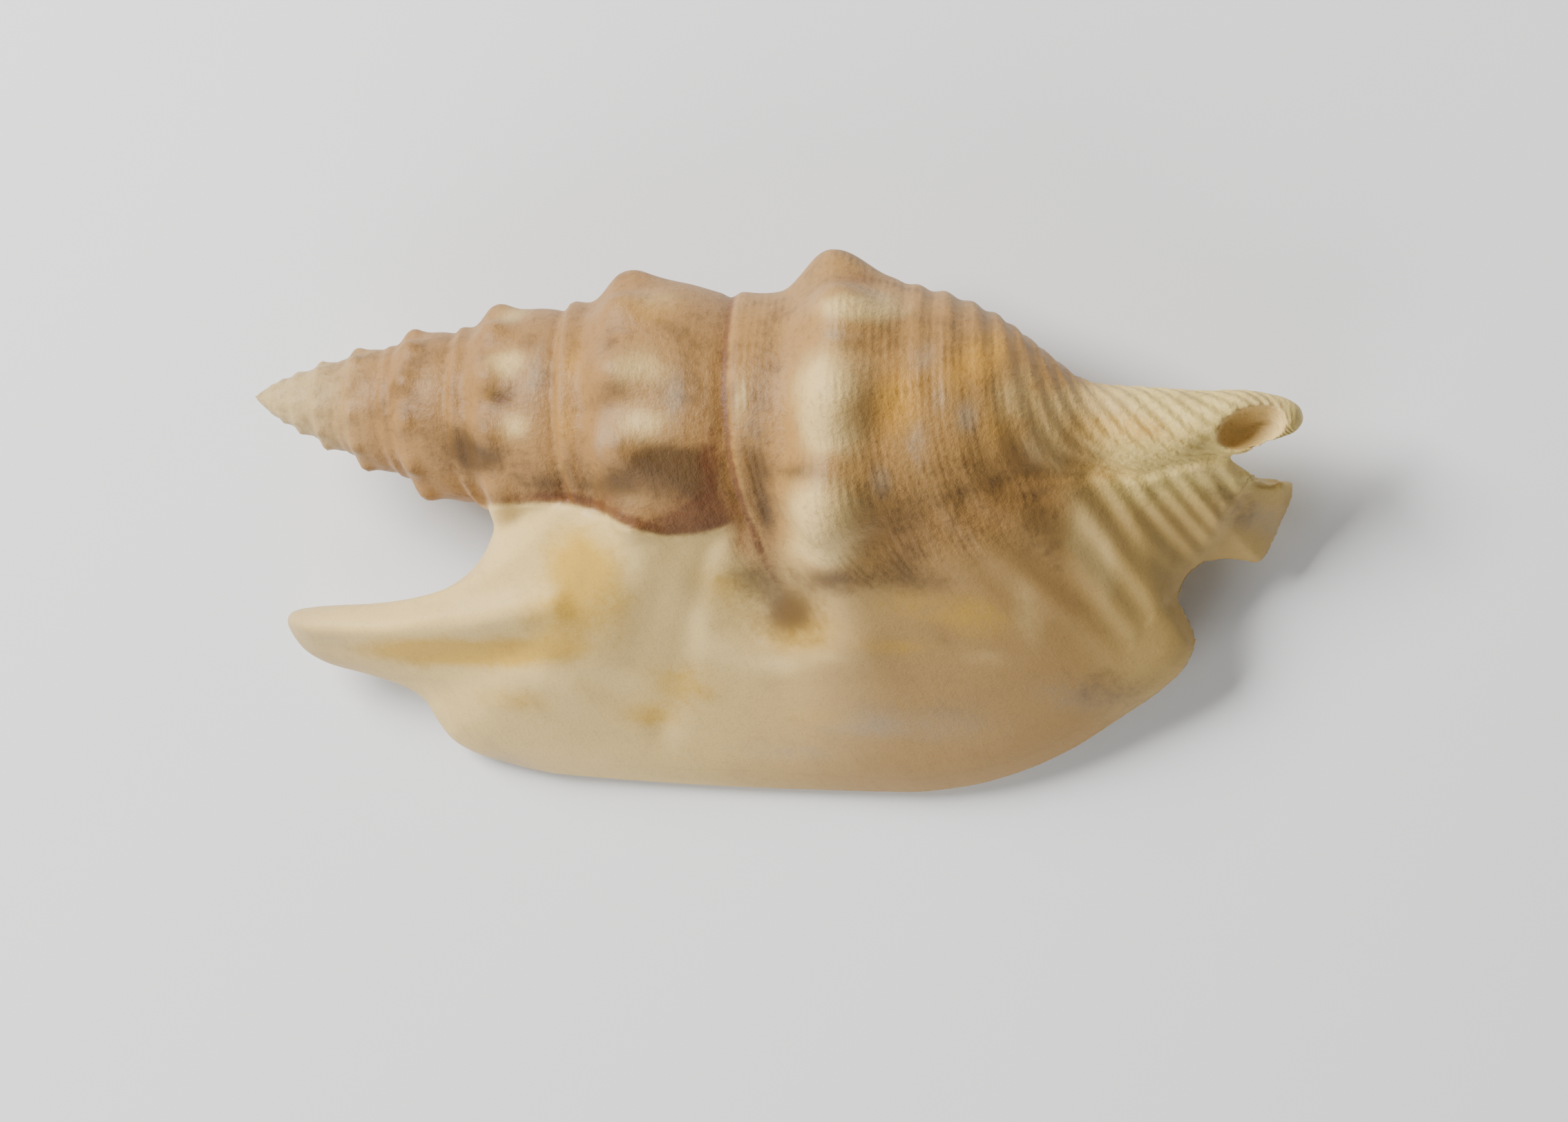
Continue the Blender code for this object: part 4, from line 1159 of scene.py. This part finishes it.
for colour, place, shown in coats:
    ground = tinted(ground, colour, figure("MULTIPLY", place, shown))
links.new(ground, shader.inputs["Base Color"])

rough = figure("MULTIPLY_ADD", specks, SPECK_ROUGHNESS, ROUGHNESS)
rough = figure("MULTIPLY_ADD", painted("glaze"), -GLAZE_SMOOTHNESS, rough)
links.new(rough, shader.inputs["Roughness"])

threads = figure("SINE", figure("MULTIPLY", painted("growth"), 2.0 * math.pi / THREAD_PITCH))
for tone, lost in (("glaze", 1.0), ("lip", 1.0), ("spire", 0.8)):
    threads = figure("MULTIPLY", threads, figure("MULTIPLY_ADD", painted(tone), -lost, 1.0))
threads = figure("MULTIPLY", threads, figure("SUBTRACT", between(blots, 0.35, 0.65), painted("canal")))
ribs = figure("COSINE", figure("MULTIPLY", painted("cord"), 2.0 * math.pi))

# What stands up from the skin in the material alone: form, height in millimetres
reliefs = (
    (figure("MULTIPLY", specks, bare), 0.16),
    (threads, 0.018),
    (grain, 0.03),
    (figure("MULTIPLY", streaks, bare), 0.10),
    (figure("MULTIPLY", ribs, painted("corded")), 0.07),
)
relief = 0.0
for form, height in reliefs:
    relief = figure("MULTIPLY_ADD", form, height, relief)
bump = nodes.new("ShaderNodeBump")
bump.inputs["Strength"].default_value = BUMP_STRENGTH
bump.inputs["Distance"].default_value = MM
links.new(relief, bump.inputs["Height"])
links.new(bump.outputs["Normal"], shader.inputs["Normal"])
shell.data.materials.clear()
shell.data.materials.append(finish)
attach(shell, "root")
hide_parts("shell")

# The floor: a plain pale sheet of matt paper, far wider than the shell, which lies on it.
bpy.ops.object.select_all(action="DESELECT")
bpy.ops.mesh.primitive_plane_add(size=4.0)
floor = bpy.context.active_object
floor.name = "floor"
paper = bpy.data.materials.new("pale_paper")
paper.use_nodes = True
paper.node_tree.nodes["Principled BSDF"].inputs["Base Color"].default_value = (0.80, 0.80, 0.79, 1.0)
paper.node_tree.nodes["Principled BSDF"].inputs["Roughness"].default_value = 0.9
floor.data.materials.append(paper)

# Soft studio light: one broad lamp from the upper left of the picture, a weak one opposite, and a
# faint even light from all round. Each lamp is a square that faces the shell: name, place, size, power.
LAMPS = (
    ("key", (-0.30, 0.22, 0.40), 0.26, 6.5),
    ("fill", (-0.20, -0.45, 0.30), 0.40, 2.0),
)
for name, place, size, power in LAMPS:
    bpy.ops.object.light_add(type="AREA", location=place)
    lamp = bpy.context.active_object
    lamp.name = name
    lamp.data.size = size
    lamp.data.energy = power
    lamp.rotation_euler = (-lamp.location).to_track_quat("-Z", "Y").to_euler()
studio = bpy.data.worlds.new("studio")
studio.use_nodes = True
studio.node_tree.nodes["Background"].inputs["Color"].default_value = (0.95, 0.97, 1.0, 1.0)
studio.node_tree.nodes["Background"].inputs["Strength"].default_value = 0.20
bpy.context.scene.world = studio

# The camera looks down on the shell's back, tilted towards the canal and rolled a little, from far
# away through a long lens, so that the far side of the shell looks as large as the near one.
LOOKED_AT = (1.25, -3.49, 10.82)
TILT = math.radians(15.0)
ROLL = math.radians(2.56)
WIDTH_IN_VIEW = 129.6
LENS = 500.0
SENSOR = 36.0
across = (
    math.cos(ROLL) * math.cos(TILT),
    math.sin(ROLL),
    -math.cos(ROLL) * math.sin(TILT),
)
towards = (math.sin(TILT), 0.0, math.cos(TILT))
bpy.ops.object.camera_add()
camera = bpy.context.active_object
camera.name = "camera"
right = Vector(across)
back = Vector(towards)
facing = Matrix((right, back.cross(right), back)).transposed()
away = WIDTH_IN_VIEW * LENS / SENSOR
camera.matrix_world = Matrix.Translation((Vector(LOOKED_AT) + away * back) * MM) @ facing.to_4x4()
camera.data.lens = LENS
camera.data.sensor_width = SENSOR
camera.data.clip_start = 0.01
bpy.context.scene.camera = camera
